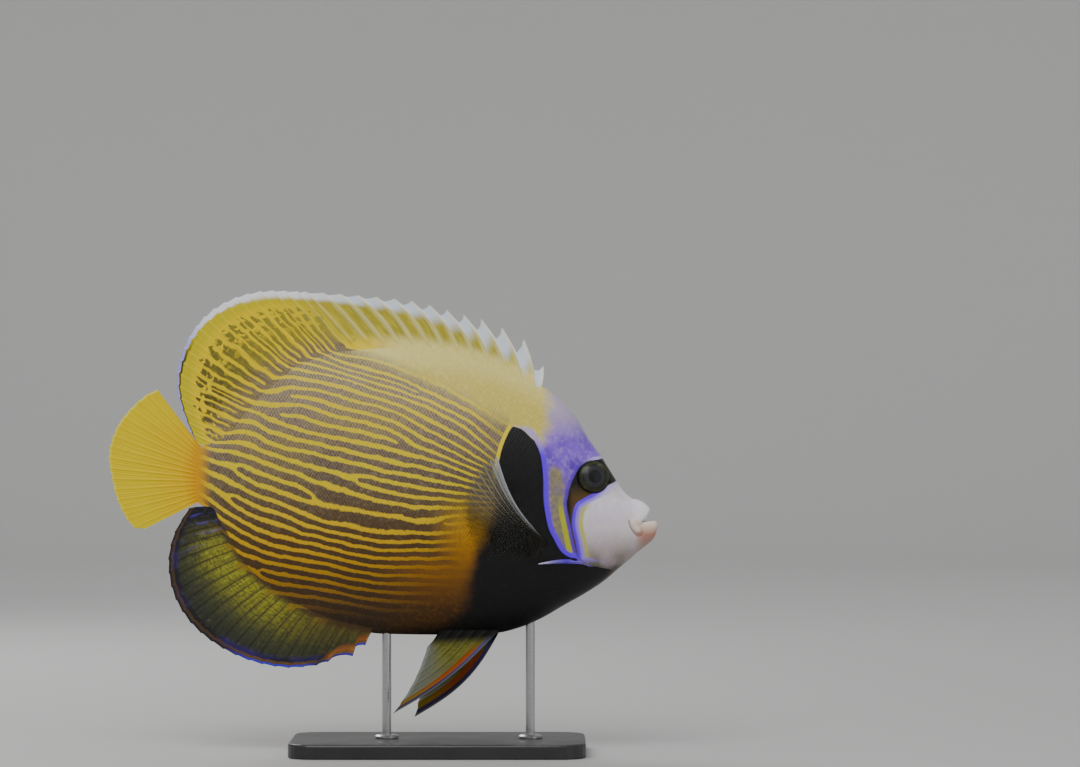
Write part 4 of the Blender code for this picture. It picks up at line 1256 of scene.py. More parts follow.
@dataclass(frozen=True)
class AnalFinish(FinFinish):
    """Anal fin: yellow green streaks along the rays on black olive, with a blue edge."""

    green: Colour = (0.40, 0.40, 0.020)
    dark: Colour = (0.020, 0.022, 0.010)
    black: Colour = (0.007, 0.007, 0.010)
    violet: Colour = (0.06, 0.018, 0.34)
    blue: Colour = (0.035, 0.022, 0.72)
    orange: Colour = (0.30, 0.095, 0.012)

    def material(self) -> Material:
        """Material of the anal fin.

        Returns:
            The material.
        """
        paint = Paint(self.name)
        depth, rim, reach, front = (paint.field(name) for name in ("depth", "rim", "reach", "front"))
        rays, scale, fine = self.rays(paint, 0.35, 0.3), scale_pattern(paint), paint.noise(480.0, 2.0)
        ray = paint.field("ray")
        web = paint.fade(paint.off_whole(ray), 0.5, 0.36)
        base = paint.ramp(reach, (
            (0.0, (0.075, 0.040, 0.010)), (0.12, (0.075, 0.058, 0.012)), (0.6, self.dark), (1.0, self.black),
        ))
        broken = paint.noise(1.0, 3.0, 0.7, paint.vector(paint.times(ray, 1.6), paint.over(depth, 1.1)))
        glow = paint.times(
            paint.fade(broken, 0.32, 0.62, 0.15, 0.95), paint.fade(depth, 34.0, 4.0),
            paint.fade(depth, -2.0, 3.0), paint.fade(self.streaks(paint, 4.0), 0.3, 0.55, 0.35, 1.0),
            paint.fade(ray, 3.0, 12.0, 0.12, 1.0),
        )
        colour = paint.mix(paint.times(web, glow), base, self.green)
        streak = paint.fade(self.streaks(paint, 7.0), 0.35, 0.62, 0.25, 1.0)
        dull = paint.times(web, paint.fade(depth, 12.0, 26.0, 0.0, 0.7), streak)
        colour = paint.mix(dull, colour, (0.042, 0.047, 0.026))
        main = paint.off_whole(paint.field("line"))
        carried = paint.times(
            paint.fade(main, 0.22, 0.12), paint.fade(depth, 6.0, -1.0), paint.fade(ray, 3.0, 7.0), 0.7
        )
        colour = paint.mix(carried, colour, (0.36, 0.22, 0.004))
        rear = paint.field("rear")
        streak = paint.times(rays, paint.fade(self.streaks(paint), 0.45, 0.6, 0.0, 0.8))
        colour = paint.mix(rear, colour, paint.mix(streak, self.black, self.violet))
        colour = paint.lay(colour, self.black, rim, 6.5, 4.0)
        patches = paint.times(paint.fade(paint.noise(45.0, 3.0), 0.42, 0.68), paint.band(rim, 2.8, 5.0, 2.0))
        colour = paint.mix(paint.times(patches, 0.34), colour, self.violet)
        tipped = paint.times(paint.fade(front, 0.05, 0.6), paint.fade(rim, 8.0, 3.0))
        colour = paint.mix(tipped, colour, paint.mix(rays, self.orange, (0.42, 0.16, 0.02)))
        lit = paint.field("glow")
        line = paint.times(paint.band(rim, 1.6, 2.6, 0.7), paint.fade(lit, 0.0, 1.0, 0.4, 0.8))
        colour = paint.mix(line, colour, (0.16, 0.075, 0.012))
        edge = paint.mix(lit, (0.012, 0.011, 0.02), self.blue)
        colour = paint.lay(colour, edge, rim, 1.5, 1.0)
        colour = paint.lay(colour, (0.20, 0.19, 0.05), fine, 0.55, 0.8, 0.0, 0.25)
        return self.close(paint, colour, rays, scale)


@dataclass(frozen=True)
class TailFinish(FinFinish):
    """Tail fin: bright yellow, orange at its root."""

    gloss: float = 0.08
    coat: float = 0.0
    root: Colour = (0.74, 0.22, 0.001)
    middle: Colour = (0.80, 0.50, 0.001)
    outer: Colour = (0.78, 0.60, 0.001)
    edge: Colour = (0.84, 0.76, 0.10)

    def material(self) -> Material:
        """Material of the tail fin.

        Returns:
            The material.
        """
        paint = Paint(self.name)
        reach, rays = paint.field("reach"), self.rays(paint)
        colour = paint.ramp(reach, ((0.0, self.root), (0.22, self.middle), (0.7, self.outer)))
        streak = paint.fade(self.streaks(paint), 0.45, 0.75, 0.0, 0.35)
        colour = paint.mix(streak, colour, (0.70, 0.40, 0.001))
        colour = paint.mix(paint.times(rays, 0.3), colour, (0.90, 0.60, 0.001))
        colour = paint.lay(colour, self.edge, paint.field("rim"), 1.3, 0.5)
        return self.close(paint, colour, rays)


@dataclass(frozen=True)
class PectoralFinish(FinFinish):
    """Pectoral fin: clear web with thin whitish rays, densest at the leading edge and dark at the root."""

    gloss: float = 0.08
    coat: float = 0.0
    ray: Colour = (0.30, 0.29, 0.25)
    web: Colour = (0.15, 0.12, 0.075)
    root: Colour = (0.020, 0.019, 0.016)

    def material(self) -> Material:
        """Material of a pectoral fin.

        Returns:
            The material.
        """
        paint = Paint(self.name)
        reach, ray = paint.field("reach"), paint.field("ray")
        rays = self.rays(paint, 0.8, 0.22)
        lead = paint.fade(ray, 9.0, 14.6)
        inner = paint.fade(paint.field("rim"), 0.0, 5.0)
        cloudy = paint.times(paint.fade(reach, 0.4, 0.85), paint.fade(ray, 2.0, 8.0, 0.15, 1.0), inner)
        upper = paint.times(paint.fade(ray, 5.0, 11.0), paint.fade(reach, 0.3, 0.7, 0.2, 1.0))
        web = paint.mix(upper, (0.018, 0.015, 0.008), self.web)
        colour = paint.mix(rays, web, paint.mix(upper, (0.040, 0.036, 0.022), self.ray))
        colour = paint.lay(colour, (0.52, 0.54, 0.57), ray, 13.4, 15.0)
        colour = paint.lay(colour, self.root, reach, 0.34, 0.05)
        shown = paint.plus(paint.times(lead, 0.5), paint.times_plus(cloudy, 0.16, 0.06))
        clear = paint.times_plus(lead, 0.12, paint.times_plus(cloudy, 0.34, 0.02))
        alpha = paint.times_plus(rays, shown, clear)
        alpha = paint.larger(alpha, paint.fade(reach, 0.28, 0.0))
        alpha = paint.larger(alpha, paint.fade(ray, 14.4, 14.9, 0.0, 0.9))
        return self.close(paint, colour, rays, alpha=alpha)


@dataclass(frozen=True)
class PelvicFinish(FinFinish):
    """Pelvic fin: olive web, a red orange stripe by the leading edge, and a blue grey edge."""

    gloss: float = 0.1
    coat: float = 0.0
    web: Colour = (0.085, 0.085, 0.012)
    grey: Colour = (0.13, 0.14, 0.11)
    stripe: Colour = (0.30, 0.060, 0.003)
    lead: Colour = (0.055, 0.045, 0.19)

    def material(self) -> Material:
        """Material of a pelvic fin.

        Returns:
            The material.
        """
        paint = Paint(self.name)
        reach, ray, rim = paint.field("reach"), paint.field("ray"), paint.field("rim")
        rays, depth = self.rays(paint), paint.field("depth")
        fine = paint.noise(1.0, 3.0, 0.7, paint.vector(paint.times(ray, 1.5), paint.over(depth, 1.3)))
        colour = paint.lay(self.web, (0.15, 0.145, 0.014), self.streaks(paint, 4.0), 0.38, 0.68)
        colour = paint.lay(colour, (0.22, 0.21, 0.03), fine, 0.45, 0.7, 0.0, 0.6)
        colour = paint.lay(colour, self.grey, reach, 0.4, 0.9)
        colour = paint.mix(paint.times(rays, 0.15), colour, (0.20, 0.19, 0.06))
        colour = paint.lay(colour, (0.24, 0.245, 0.22), rim, 4.5, 1.0, 0.0, 0.8)
        shown = paint.times(paint.band(ray, 0.48, 0.86, 0.26), paint.fade(reach, 0.12, 0.35))
        stripe = paint.lay(self.stripe, (0.19, 0.12, 0.010), reach, 0.55, 0.95)
        colour = paint.mix(shown, colour, stripe)
        lead = paint.lay(self.lead, (0.030, 0.022, 0.075), reach, 0.2, 0.7)
        colour = paint.lay(colour, lead, ray, 0.5, 0.3)
        colour = paint.lay(colour, self.grey, ray, 0.2, 0.1, 0.0, 0.7)
        colour = paint.lay(colour, (0.004, 0.004, 0.003), depth, 13.0, 5.0)
        return self.close(paint, colour, rays)


@dataclass
class Fin:
    """Thin fin whose rays fan out from roots to tips, a sheet of rows along and columns across them."""

    name: str
    rays: int
    finish: FinFinish
    rows: int
    across: int = 8
    gather: float = 0.8
    edge_half: float = 0.12
    bow: float | Array = 0.0

    def ray_number(self) -> Array:
        """Number of the ray at every column, with fractions between them, closest together at the rays."""
        even = np.linspace(0, self.rays - 1, (self.rays - 1) * self.across + 1)
        return even - self.gather * np.sin(2 * math.pi * even) / (2 * math.pi)

    def spread(self, rays: Array) -> Array:
        """Read values that are given at the rays at every column.

        Args:
            rays: a value or a point for each ray.

        Returns:
            The same for each column.
        """
        rays = np.asarray(rays, float)
        flat = rays.reshape(len(rays), -1)
        out = [np.interp(self.ray_number(), np.arange(len(rays)), flat[:, k]) for k in range(flat.shape[1])]
        return np.stack(out, axis=-1).reshape((-1,) + rays.shape[1:])

    def fan(
        self, roots: Array, tips: Array, sunk: float = 0.0, cut: float | Array = 1.0
    ) -> tuple[Array, Array]:
        """Points along every column from below its root to its tip, and how far out each lies.

        A point is its root plus its way along the column, bowed sideways in the fin's plane by half a
        sine.

        Args:
            roots: root of every column.
            tips: tip of every column.
            sunk: how far the columns start below their roots.
            cut: share of its way at which each column ends.

        Returns:
            The points and their ways, by row and column.
        """
        run = tips - roots
        length = np.linalg.norm(run, axis=1)
        share = np.linspace(0, 1, self.rows)[:, None]
        depth = -sunk + share * (length * cut + sunk)
        part = depth / length
        sideways = np.stack((-run[:, 1], run[:, 0]), axis=-1)
        bow = self.spread(np.broadcast_to(self.bow, self.rays))
        swing = bow * np.sin(math.pi * np.clip(part, 0, 1))
        return roots + run * part[..., None] + sideways * swing[..., None], depth

    def ridges(self, flat: Array, reach: Array, heights: float | Array, girth: float | Array) -> Array:
        """Height of the rays on the fin: a bell over each ray that falls towards the free edge.

        The distance off a ray is its share of the way to the next one times their spacing, which is
        the cross product of the step between rays and the direction along them.

        Args:
            flat: points by row and column.
            reach: share of the way out of each.
            heights: heights of the rays.
            girth: half widths of the rays.

        Returns:
            The heights.
        """
        number = self.ray_number()
        step, along = np.gradient(flat, number, axis=1), np.gradient(flat, axis=0)
        along = along / np.linalg.norm(along, axis=-1)[..., None]
        spacing = np.abs(step[..., 0] * along[..., 1] - step[..., 1] * along[..., 0])
        bell = bump(np.abs(number - np.round(number)) * spacing, 1.0) ** (1 / girth**2)
        return heights * bell * (1 - 0.75 * reach) * smooth_step(reach, -0.02, 0.1)

    def sheet(self, middle: Array, normal: Array, half: Array, fields: dict[str, Array]) -> Piece:
        """Close a sheet of the given half thickness round its middle surface, and dress it.

        Args:
            middle: middle surface, rows from the root to the free edge and columns across the rays.
            normal: direction of its thickness, one for all or one for each point.
            half: half thickness.
            fields: fields by row and column.

        Returns:
            The object.
        """
        away = np.asarray(normal, float) * half[..., None]
        rings = np.concatenate((middle - away, (middle + away)[:, ::-1]), axis=1)
        wide = {key: np.broadcast_to(value, half.shape) for key, value in fields.items()}
        both = {key: np.concatenate((value, value[:, ::-1]), axis=1) for key, value in wide.items()}
        made = Surface(self.name, rings, both).build()
        made.data.materials.append(self.finish.material())
        return made


@dataclass(kw_only=True)
class MedianFin(Fin):
    """Fin in the fish's middle plane, spiny in front and soft behind."""

    shape: FishShape
    lines: Lines
    roots: Array
    tips: Array
    notch: Array
    heights: Array
    girth: Array
    marks: dict[str, Array] = field(default_factory=dict)
    web_half: float = 0.32
    sunk: float = 6.5
    meets: float = -4.0
    fillet_reach: float = 7.0

    def fillet(self, flat: Array, depth: Array) -> Array:
        """Half thickness that carries the body's side over onto the fin.

        It falls off as the exponential of the way out, from the body's own half width four
        millimetres inside its outline, and further inside it is kept under the body's surface.

        Args:
            flat: points by row and column.
            depth: how far out each lies.

        Returns:
            The half thicknesses.
        """
        rows = np.arange(len(flat))
        inner = [np.interp(self.meets, way, rows) for way in depth.T]
        place = [[np.interp(at, rows, way) for at, way in zip(inner, flat[..., k].T)] for k in (0, 1)]
        place = np.array(place)
        body = self.shape.half_width(place[0], self.shape.level(*place))
        out = (body - 0.3) * np.exp((self.meets - depth) / self.fillet_reach)
        x, z = flat[..., 0], flat[..., 1]
        level = np.clip(self.shape.level(x, z), -1, 1)
        limit = self.shape.half_width(x, level) - 0.55 + 3.0 * smooth_step(depth, self.meets, 0.0)
        return np.minimum(out, np.where(depth < 0, limit, np.inf))

    def build(self) -> Piece:
        """Make the fin and dress it.

        Behind each spine the edge drops towards the next one by the notch, most at six sevenths of the
        way, so that the next spine's tip stands free.

        Returns:
            The piece.
        """
        roots, tips, number = self.spread(self.roots), self.spread(self.tips), self.ray_number()
        behind = number - np.floor(number)
        drop = np.interp(behind, (0, 0.3, 0.86, 1.0), (0, 0.42, 1.0, 0.0)) * self.spread(self.notch)
        flat, depth = self.fan(roots, tips, self.sunk, 1 - drop / np.linalg.norm(tips - roots, axis=1))
        tips, reach = flat[-1], depth / depth[-1]
        ridges = self.ridges(flat, reach, self.spread(self.heights), self.spread(self.girth))
        web = self.web_half + (self.edge_half - self.web_half) * np.clip(reach, 0, 1)
        half = web + self.fillet(flat, depth) + ridges
        middle = np.stack((flat[..., 0], np.zeros(depth.shape), flat[..., 1]), axis=-1)
        root_z = np.where(depth < 0, flat[..., 1], roots[None, :, 1])
        root_x = np.where(depth < 0, flat[..., 0], roots[None, :, 0])
        fields = {
            "ray": number, "reach": np.clip(reach, 0, 1), "depth": depth,
            "rim": np.linalg.norm(flat - tips, axis=-1),
            "line": self.lines.whole_number(root_x, root_z),
        }
        for key, value in self.marks.items():
            fields[key] = self.spread(value)
        if "pale" in fields:
            fields["pale"] = fields["rim"] / fields["pale"]
        return self.sheet(middle, np.array((0, 1.0, 0)), half, fields)


@dataclass(kw_only=True)
class PairedFin(Fin):
    """Pectoral or pelvic fin: a fan that leaves the body's side at an angle."""

    side: Side
    root_line: Points
    edge_line: Points
    out: Callable[[Array], Array]
    normal: tuple[float, float, float]
    root_half: float
    ridge: float
    girth: float

    def build(self) -> Piece:
        """Make the fin from its outline in the side view and its distance out at every point.

        Returns:
            The piece.
        """
        roots = self.spread(smooth_path(self.root_line, self.rays))
        tips = self.spread(smooth_path(self.edge_line, self.rays))
        number = self.ray_number()
        behind = np.abs(number - np.round(number)) * 2
        tips = tips + (roots - tips) * (0.02 * behind)[:, None]
        flat, depth = self.fan(roots, tips)
        reach = depth / depth[-1]
        middle = np.stack((flat[..., 0], self.out(flat) * self.side.value, flat[..., 1]), axis=-1)
        ridges = self.ridges(flat, reach, self.ridge, self.girth)
        half = self.edge_half + (self.root_half - self.edge_half) * (1 - reach) ** 2.5 + ridges
        fields = {"ray": number, "reach": reach, "depth": depth, "rim": np.linalg.norm(flat - tips, axis=-1)}
        nx, ny, nz = self.normal
        return self.sheet(middle, np.array((nx, ny * self.side.value, nz)), half, fields)


@dataclass
class Eye:
    """Flattened glossy ball with iris, pupil and a faint ring, set in its orbit."""

    shape: FishShape
    side: Side
    radius: float = 9.2
    depth: float = 4.6
    sink: float = 1.5
    rings: int = 40
    around: int = 72

    def build(self) -> Piece:
        """Make the eye: rings of an ellipsoid about the axis that points out of the orbit.

        Returns:
            The piece.
        """
        ex, ey, ez = self.shape.eye
        axis = np.array((self.shape.eye_slope[0], self.side.value, self.shape.eye_slope[1]))
        axis /= np.linalg.norm(axis)
        across = np.cross(axis, (0, 0, 1.0))
        across /= np.linalg.norm(across)
        up = np.cross(across, axis)
        polar = np.linspace(0.02, math.pi - 0.02, self.rings)[:, None, None]
        turn = np.linspace(0, 2 * math.pi, self.around, endpoint=False)[None, :, None]
        round_part = self.radius * np.sin(polar) * (across * np.cos(turn) + up * np.sin(turn))
        centre = np.array((ex, self.side.value * ey, ez)) - self.sink * axis
        rings = centre + round_part + self.depth * np.cos(polar) * axis
        from_axis = np.broadcast_to(self.radius * np.sin(polar[..., 0]), rings.shape[:2])
        made = Surface(f"eyeball_{self.side.word}", rings, {"radius": from_axis}).build()
        made.data.materials.append(self.material())
        return made

    def material(self) -> Material:
        """Black pupil, dark olive iris with a faint ring, and a clear wet coat.

        Returns:
            The material.
        """
        paint = Paint(f"eye_{self.side.word}")
        radius, rough = paint.field("radius"), paint.noise(300.0, 3.0)
        ring = paint.noise(1.0, 2.0, 0.6, paint.vector(paint.times(radius, 0.9), 3.0))
        iris = paint.lay((0.010, 0.011, 0.004), (0.034, 0.034, 0.008), ring, 0.4, 0.65)
        iris = paint.lay(iris, (0.070, 0.070, 0.014), rough, 0.45, 0.7, 0.0, 0.6)
        iris = paint.mix(paint.times(paint.band(radius, 4.4, 5.6, 0.8), 0.7), iris, (0.022, 0.026, 0.040))
        iris = paint.mix(paint.band(radius, 3.8, 3.95, 0.4), iris, (0.030, 0.033, 0.026))
        colour = paint.lay(iris, (0.003, 0.0035, 0.006), radius, 3.8, 3.5)
        colour = paint.lay(colour, (0.006, 0.006, 0.003), radius, 7.9, 8.5)
        return paint.finish(
            Base_Color=colour, Roughness=0.42, Coat_Weight=0.2, Coat_Roughness=0.12, Specular_IOR_Level=0.25,
        )


@dataclass
class CheekSpine:
    """Long spine that points back from the lower corner of the cheek plate."""

    shape: FishShape
    side: Side
    root: tuple[float, float] = (111.0, 104.6)
    tip: tuple[float, float] = (84.3, 103.6)
    root_radius: float = 1.9
    tip_radius: float = 0.12
    arch: float = 0.8
    root_sunk: float = 1.9
    tip_clear: float = 2.4
    rings: int = 40
    around: int = 20

    def build(self) -> Piece:
        """Make the spine: circles along a slightly arched line, taking out less and less room.

        Returns:
            The piece.
        """
        share = np.linspace(0, 1, self.rings)
        flat = np.array(self.root) + (np.array(self.tip) - np.array(self.root)) * share[:, None]
        flat[:, 1] += self.arch * np.sin(math.pi * share)
        start = self.shape.head_half_width(flat[0, 0], self.shape.level(*flat[0])) - self.root_sunk
        end = self.shape.half_width(flat[-1, 0], self.shape.level(*flat[-1])) + self.tip_clear
        out = start + (end - start) * share
        path = np.stack((flat[:, 0], self.side.value * out, flat[:, 1]), axis=-1)
        ahead = np.gradient(path, axis=0)
        ahead /= np.linalg.norm(ahead, axis=1)[:, None]
        across = np.cross(ahead, (0, 1.0, 0))
        across /= np.linalg.norm(across, axis=1)[:, None]
        third = np.cross(ahead, across)
        turn = np.linspace(0, 2 * math.pi, self.around, endpoint=False)[None, :, None]
        radius = self.tip_radius + (self.root_radius - self.tip_radius) * (1 - share) ** 0.7
        circle = across[:, None] * np.cos(turn) + third[:, None] * np.sin(turn)
        rings = path[:, None] + circle * radius[:, None, None]
        along = np.broadcast_to(share[:, None], rings.shape[:2])
        made = Surface(f"spine_{self.side.word}", rings, {"reach": along}).build()
        made.data.materials.append(self.material())
        return made

    def material(self) -> Material:
        """Bright blue that pales to white at the tip.

        Returns:
            The material.
        """
        paint = Paint(f"spine_{self.side.word}")
        colour = paint.ramp(paint.field("reach"), (
            (0.0, (0.24, 0.13, 0.86)), (0.45, (0.085, 0.02, 0.62)), (0.72, (0.24, 0.20, 0.60)),
            (1.0, (0.86, 0.86, 0.90)),
        ))
        spots = paint.fade(paint.noise(260.0, 2.0), 0.45, 0.7, 0.0, 0.4)
        colour = paint.mix(spots, colour, (0.24, 0.16, 0.80))
        return paint.finish(Base_Color=colour, Roughness=0.32, Coat_Weight=0.2, Specular_IOR_Level=0.4)


@dataclass(frozen=True)
class StandFinish:
    """Finishes of the stand: satin dark base and brushed steel rods."""

    base: Colour = (0.020, 0.020, 0.022)
    steel: Colour = (0.50, 0.50, 0.51)

    def dress(self, nodes: dict[str, Piece]) -> None:
        """Put the finishes on the stand's CAD nodes.

        Args:
            nodes: the CAD nodes by name.
        """
        base, steel = self.base_material(), self.steel_material()
        for name, node in nodes.items():
            if name.startswith("stand_"):
                node.data.materials.clear()
                node.data.materials.append(base if name == "stand_base" else steel)

    def base_material(self) -> Material:
        """Dark satin lacquer with a fine grain.

        Returns:
            The material.
        """
        paint = Paint("stand_lacquer")
        grain, cloud = paint.relief(paint.noise(900.0, 2.0), 0.02, 0.3), paint.noise(25.0, 3.0)
        colour = paint.lay(self.base, (0.030, 0.030, 0.033), cloud, 0.3, 0.7, 0.0, 0.5)
        rough = paint.fade(cloud, 0.3, 0.7, 0.36, 0.46)
        return paint.finish(Base_Color=colour, Roughness=rough, Normal=grain, Coat_Weight=0.1)

    def steel_material(self) -> Material:
        """Steel with fine brushing round the rod.

        Returns:
            The material.
        """
        paint = Paint("stand_steel")
        place = paint.vector(0.0, 0.0, paint.times(paint.axis("Z"), 6.0))
        brushed = paint.noise(1.0, 3.0, 0.7, place)
        return paint.finish(
            Base_Color=self.steel, Metallic=1.0, Roughness=paint.fade(brushed, 0.3, 0.7, 0.2, 0.34),
            Normal=paint.relief(brushed, 0.02, 0.3),
        )


@dataclass
class Studio:
    """Pale floor, soft lights and the camera at the photo's framing, all in metres."""

    floor: Colour = (0.50, 0.497, 0.488)
    floor_reach: float = 2.6
    floor_curve: float = 0.8
    wall_top: float = 1.6
    floor_sides: int = 128
    sky: Colour = (0.95, 0.97, 1.0)
    sky_strength: float = 0.36
    distance: float = 2.4
    frame_width: float = 0.587
    look_x: float = 0.0853
    look_z: float = 0.2008

    def build(self) -> None:
        """Set up the floor, the lights, the world and the camera."""
        self.bowl()
        self.light("key", (-0.30, -1.05, 1.30), 0.9, 13.0, (0.0, 0.0, 0.16))
        self.light("fill", (1.3, -1.2, 0.5), 1.2, 3.0, (0.0, 0.0, 0.14))
        self.light("rear", (-0.6, 0.9, 0.9), 0.7, 7.0, (0.0, 0.0, 0.16))
        for name, x, y in (("back", 0, 1), ("front", 0, -1), ("tail", -1, 0), ("snout", 1, 0)):
            self.light(f"wash_{name}", (1.7 * x, 1.7 * y, 2.3), 1.4, 22.0, (3.4 * x, 3.4 * y, 0.5))
        world = bpy.context.scene.world or bpy.data.worlds.new("studio")
        bpy.context.scene.world = world
        world.use_nodes = True
        background = world.node_tree.nodes["Background"]
        background.inputs[0].default_value = (*self.sky, 1.0)
        background.inputs[1].default_value = self.sky_strength
        self.camera()

    def bowl(self) -> None:
        """Round floor that curves up into a low wall, so that every side has the same backdrop.

        Its profile is a flat floor, a quarter circle and a wall, turned about the upright axis.
        """
        turn = np.linspace(0, math.pi / 2, 20)[1:]
        reach, radius, around = self.floor_reach, self.floor_curve, self.floor_sides
        flat = np.linspace(0.3, reach, 6)
        out = np.concatenate((flat, reach + radius * np.sin(turn), [reach + radius]))
        up = np.concatenate((0 * flat, radius - radius * np.cos(turn), [self.wall_top]))
        about = np.linspace(0, 2 * math.pi, around, endpoint=False)
        plan = np.stack((np.cos(about), np.sin(about)), axis=-1)
        height = np.tile(up[:, None, None], (1, around, 1))
        rings = np.concatenate((out[:, None, None] * plan, height), axis=-1)
        here = np.arange(around)
        after = (here + 1) % around
        start = 1 + np.arange(len(out) - 1)[:, None] * around
        outer = start + around
        quads = np.stack((start + here, outer + here, outer + after, start + after), axis=-1)
        middle = np.stack((0 * here, 1 + here, 1 + after), axis=-1)
        mesh = bpy.data.meshes.new("floor")
        points = np.vstack((np.zeros((1, 3)), rings.reshape(-1, 3)))
        mesh.from_pydata(points.tolist(), [], middle.tolist() + quads.reshape(-1, 4).tolist())
        mesh.shade_smooth()
        floor = bpy.data.objects.new("floor", mesh)
        bpy.context.scene.collection.objects.link(floor)
        mesh.materials.append(Paint("floor").finish(Base_Color=self.floor, Roughness=0.8))

    def light(
        self, name: str, place: tuple[float, float, float], size: float, power: float,
        target: tuple[float, float, float],
    ) -> None:
        """Square area light at a place, turned towards a target.

        Args:
            name: name of the light.
            place: where it hangs.
            size: side of the square.
            power: power in watts.
            target: what it is turned to.
        """
        lamp = bpy.data.lights.new(name, "AREA")
        lamp.size = size
        lamp.energy = power
        made = bpy.data.objects.new(name, lamp)
        made.location = place
        x, y, z = np.array(target) - np.array(place)
        made.rotation_euler = (math.atan2(math.hypot(x, y), -z), 0.0, math.atan2(-x, y))
        bpy.context.scene.collection.objects.link(made)

    def camera(self) -> None:
        """Camera level with the middle of the photo's frame, looking along +Y."""
        data = bpy.data.cameras.new("camera")
        data.sensor_width = 36.0
        data.lens = 36.0 * self.distance / self.frame_width
        data.clip_start, data.clip_end = 0.05, 50.0
        made = bpy.data.objects.new("camera", data)
        made.location = (self.look_x, -self.distance, self.look_z)
        made.rotation_euler = (math.pi / 2, 0.0, 0.0)
        bpy.context.scene.collection.objects.link(made)
        bpy.context.scene.camera = made


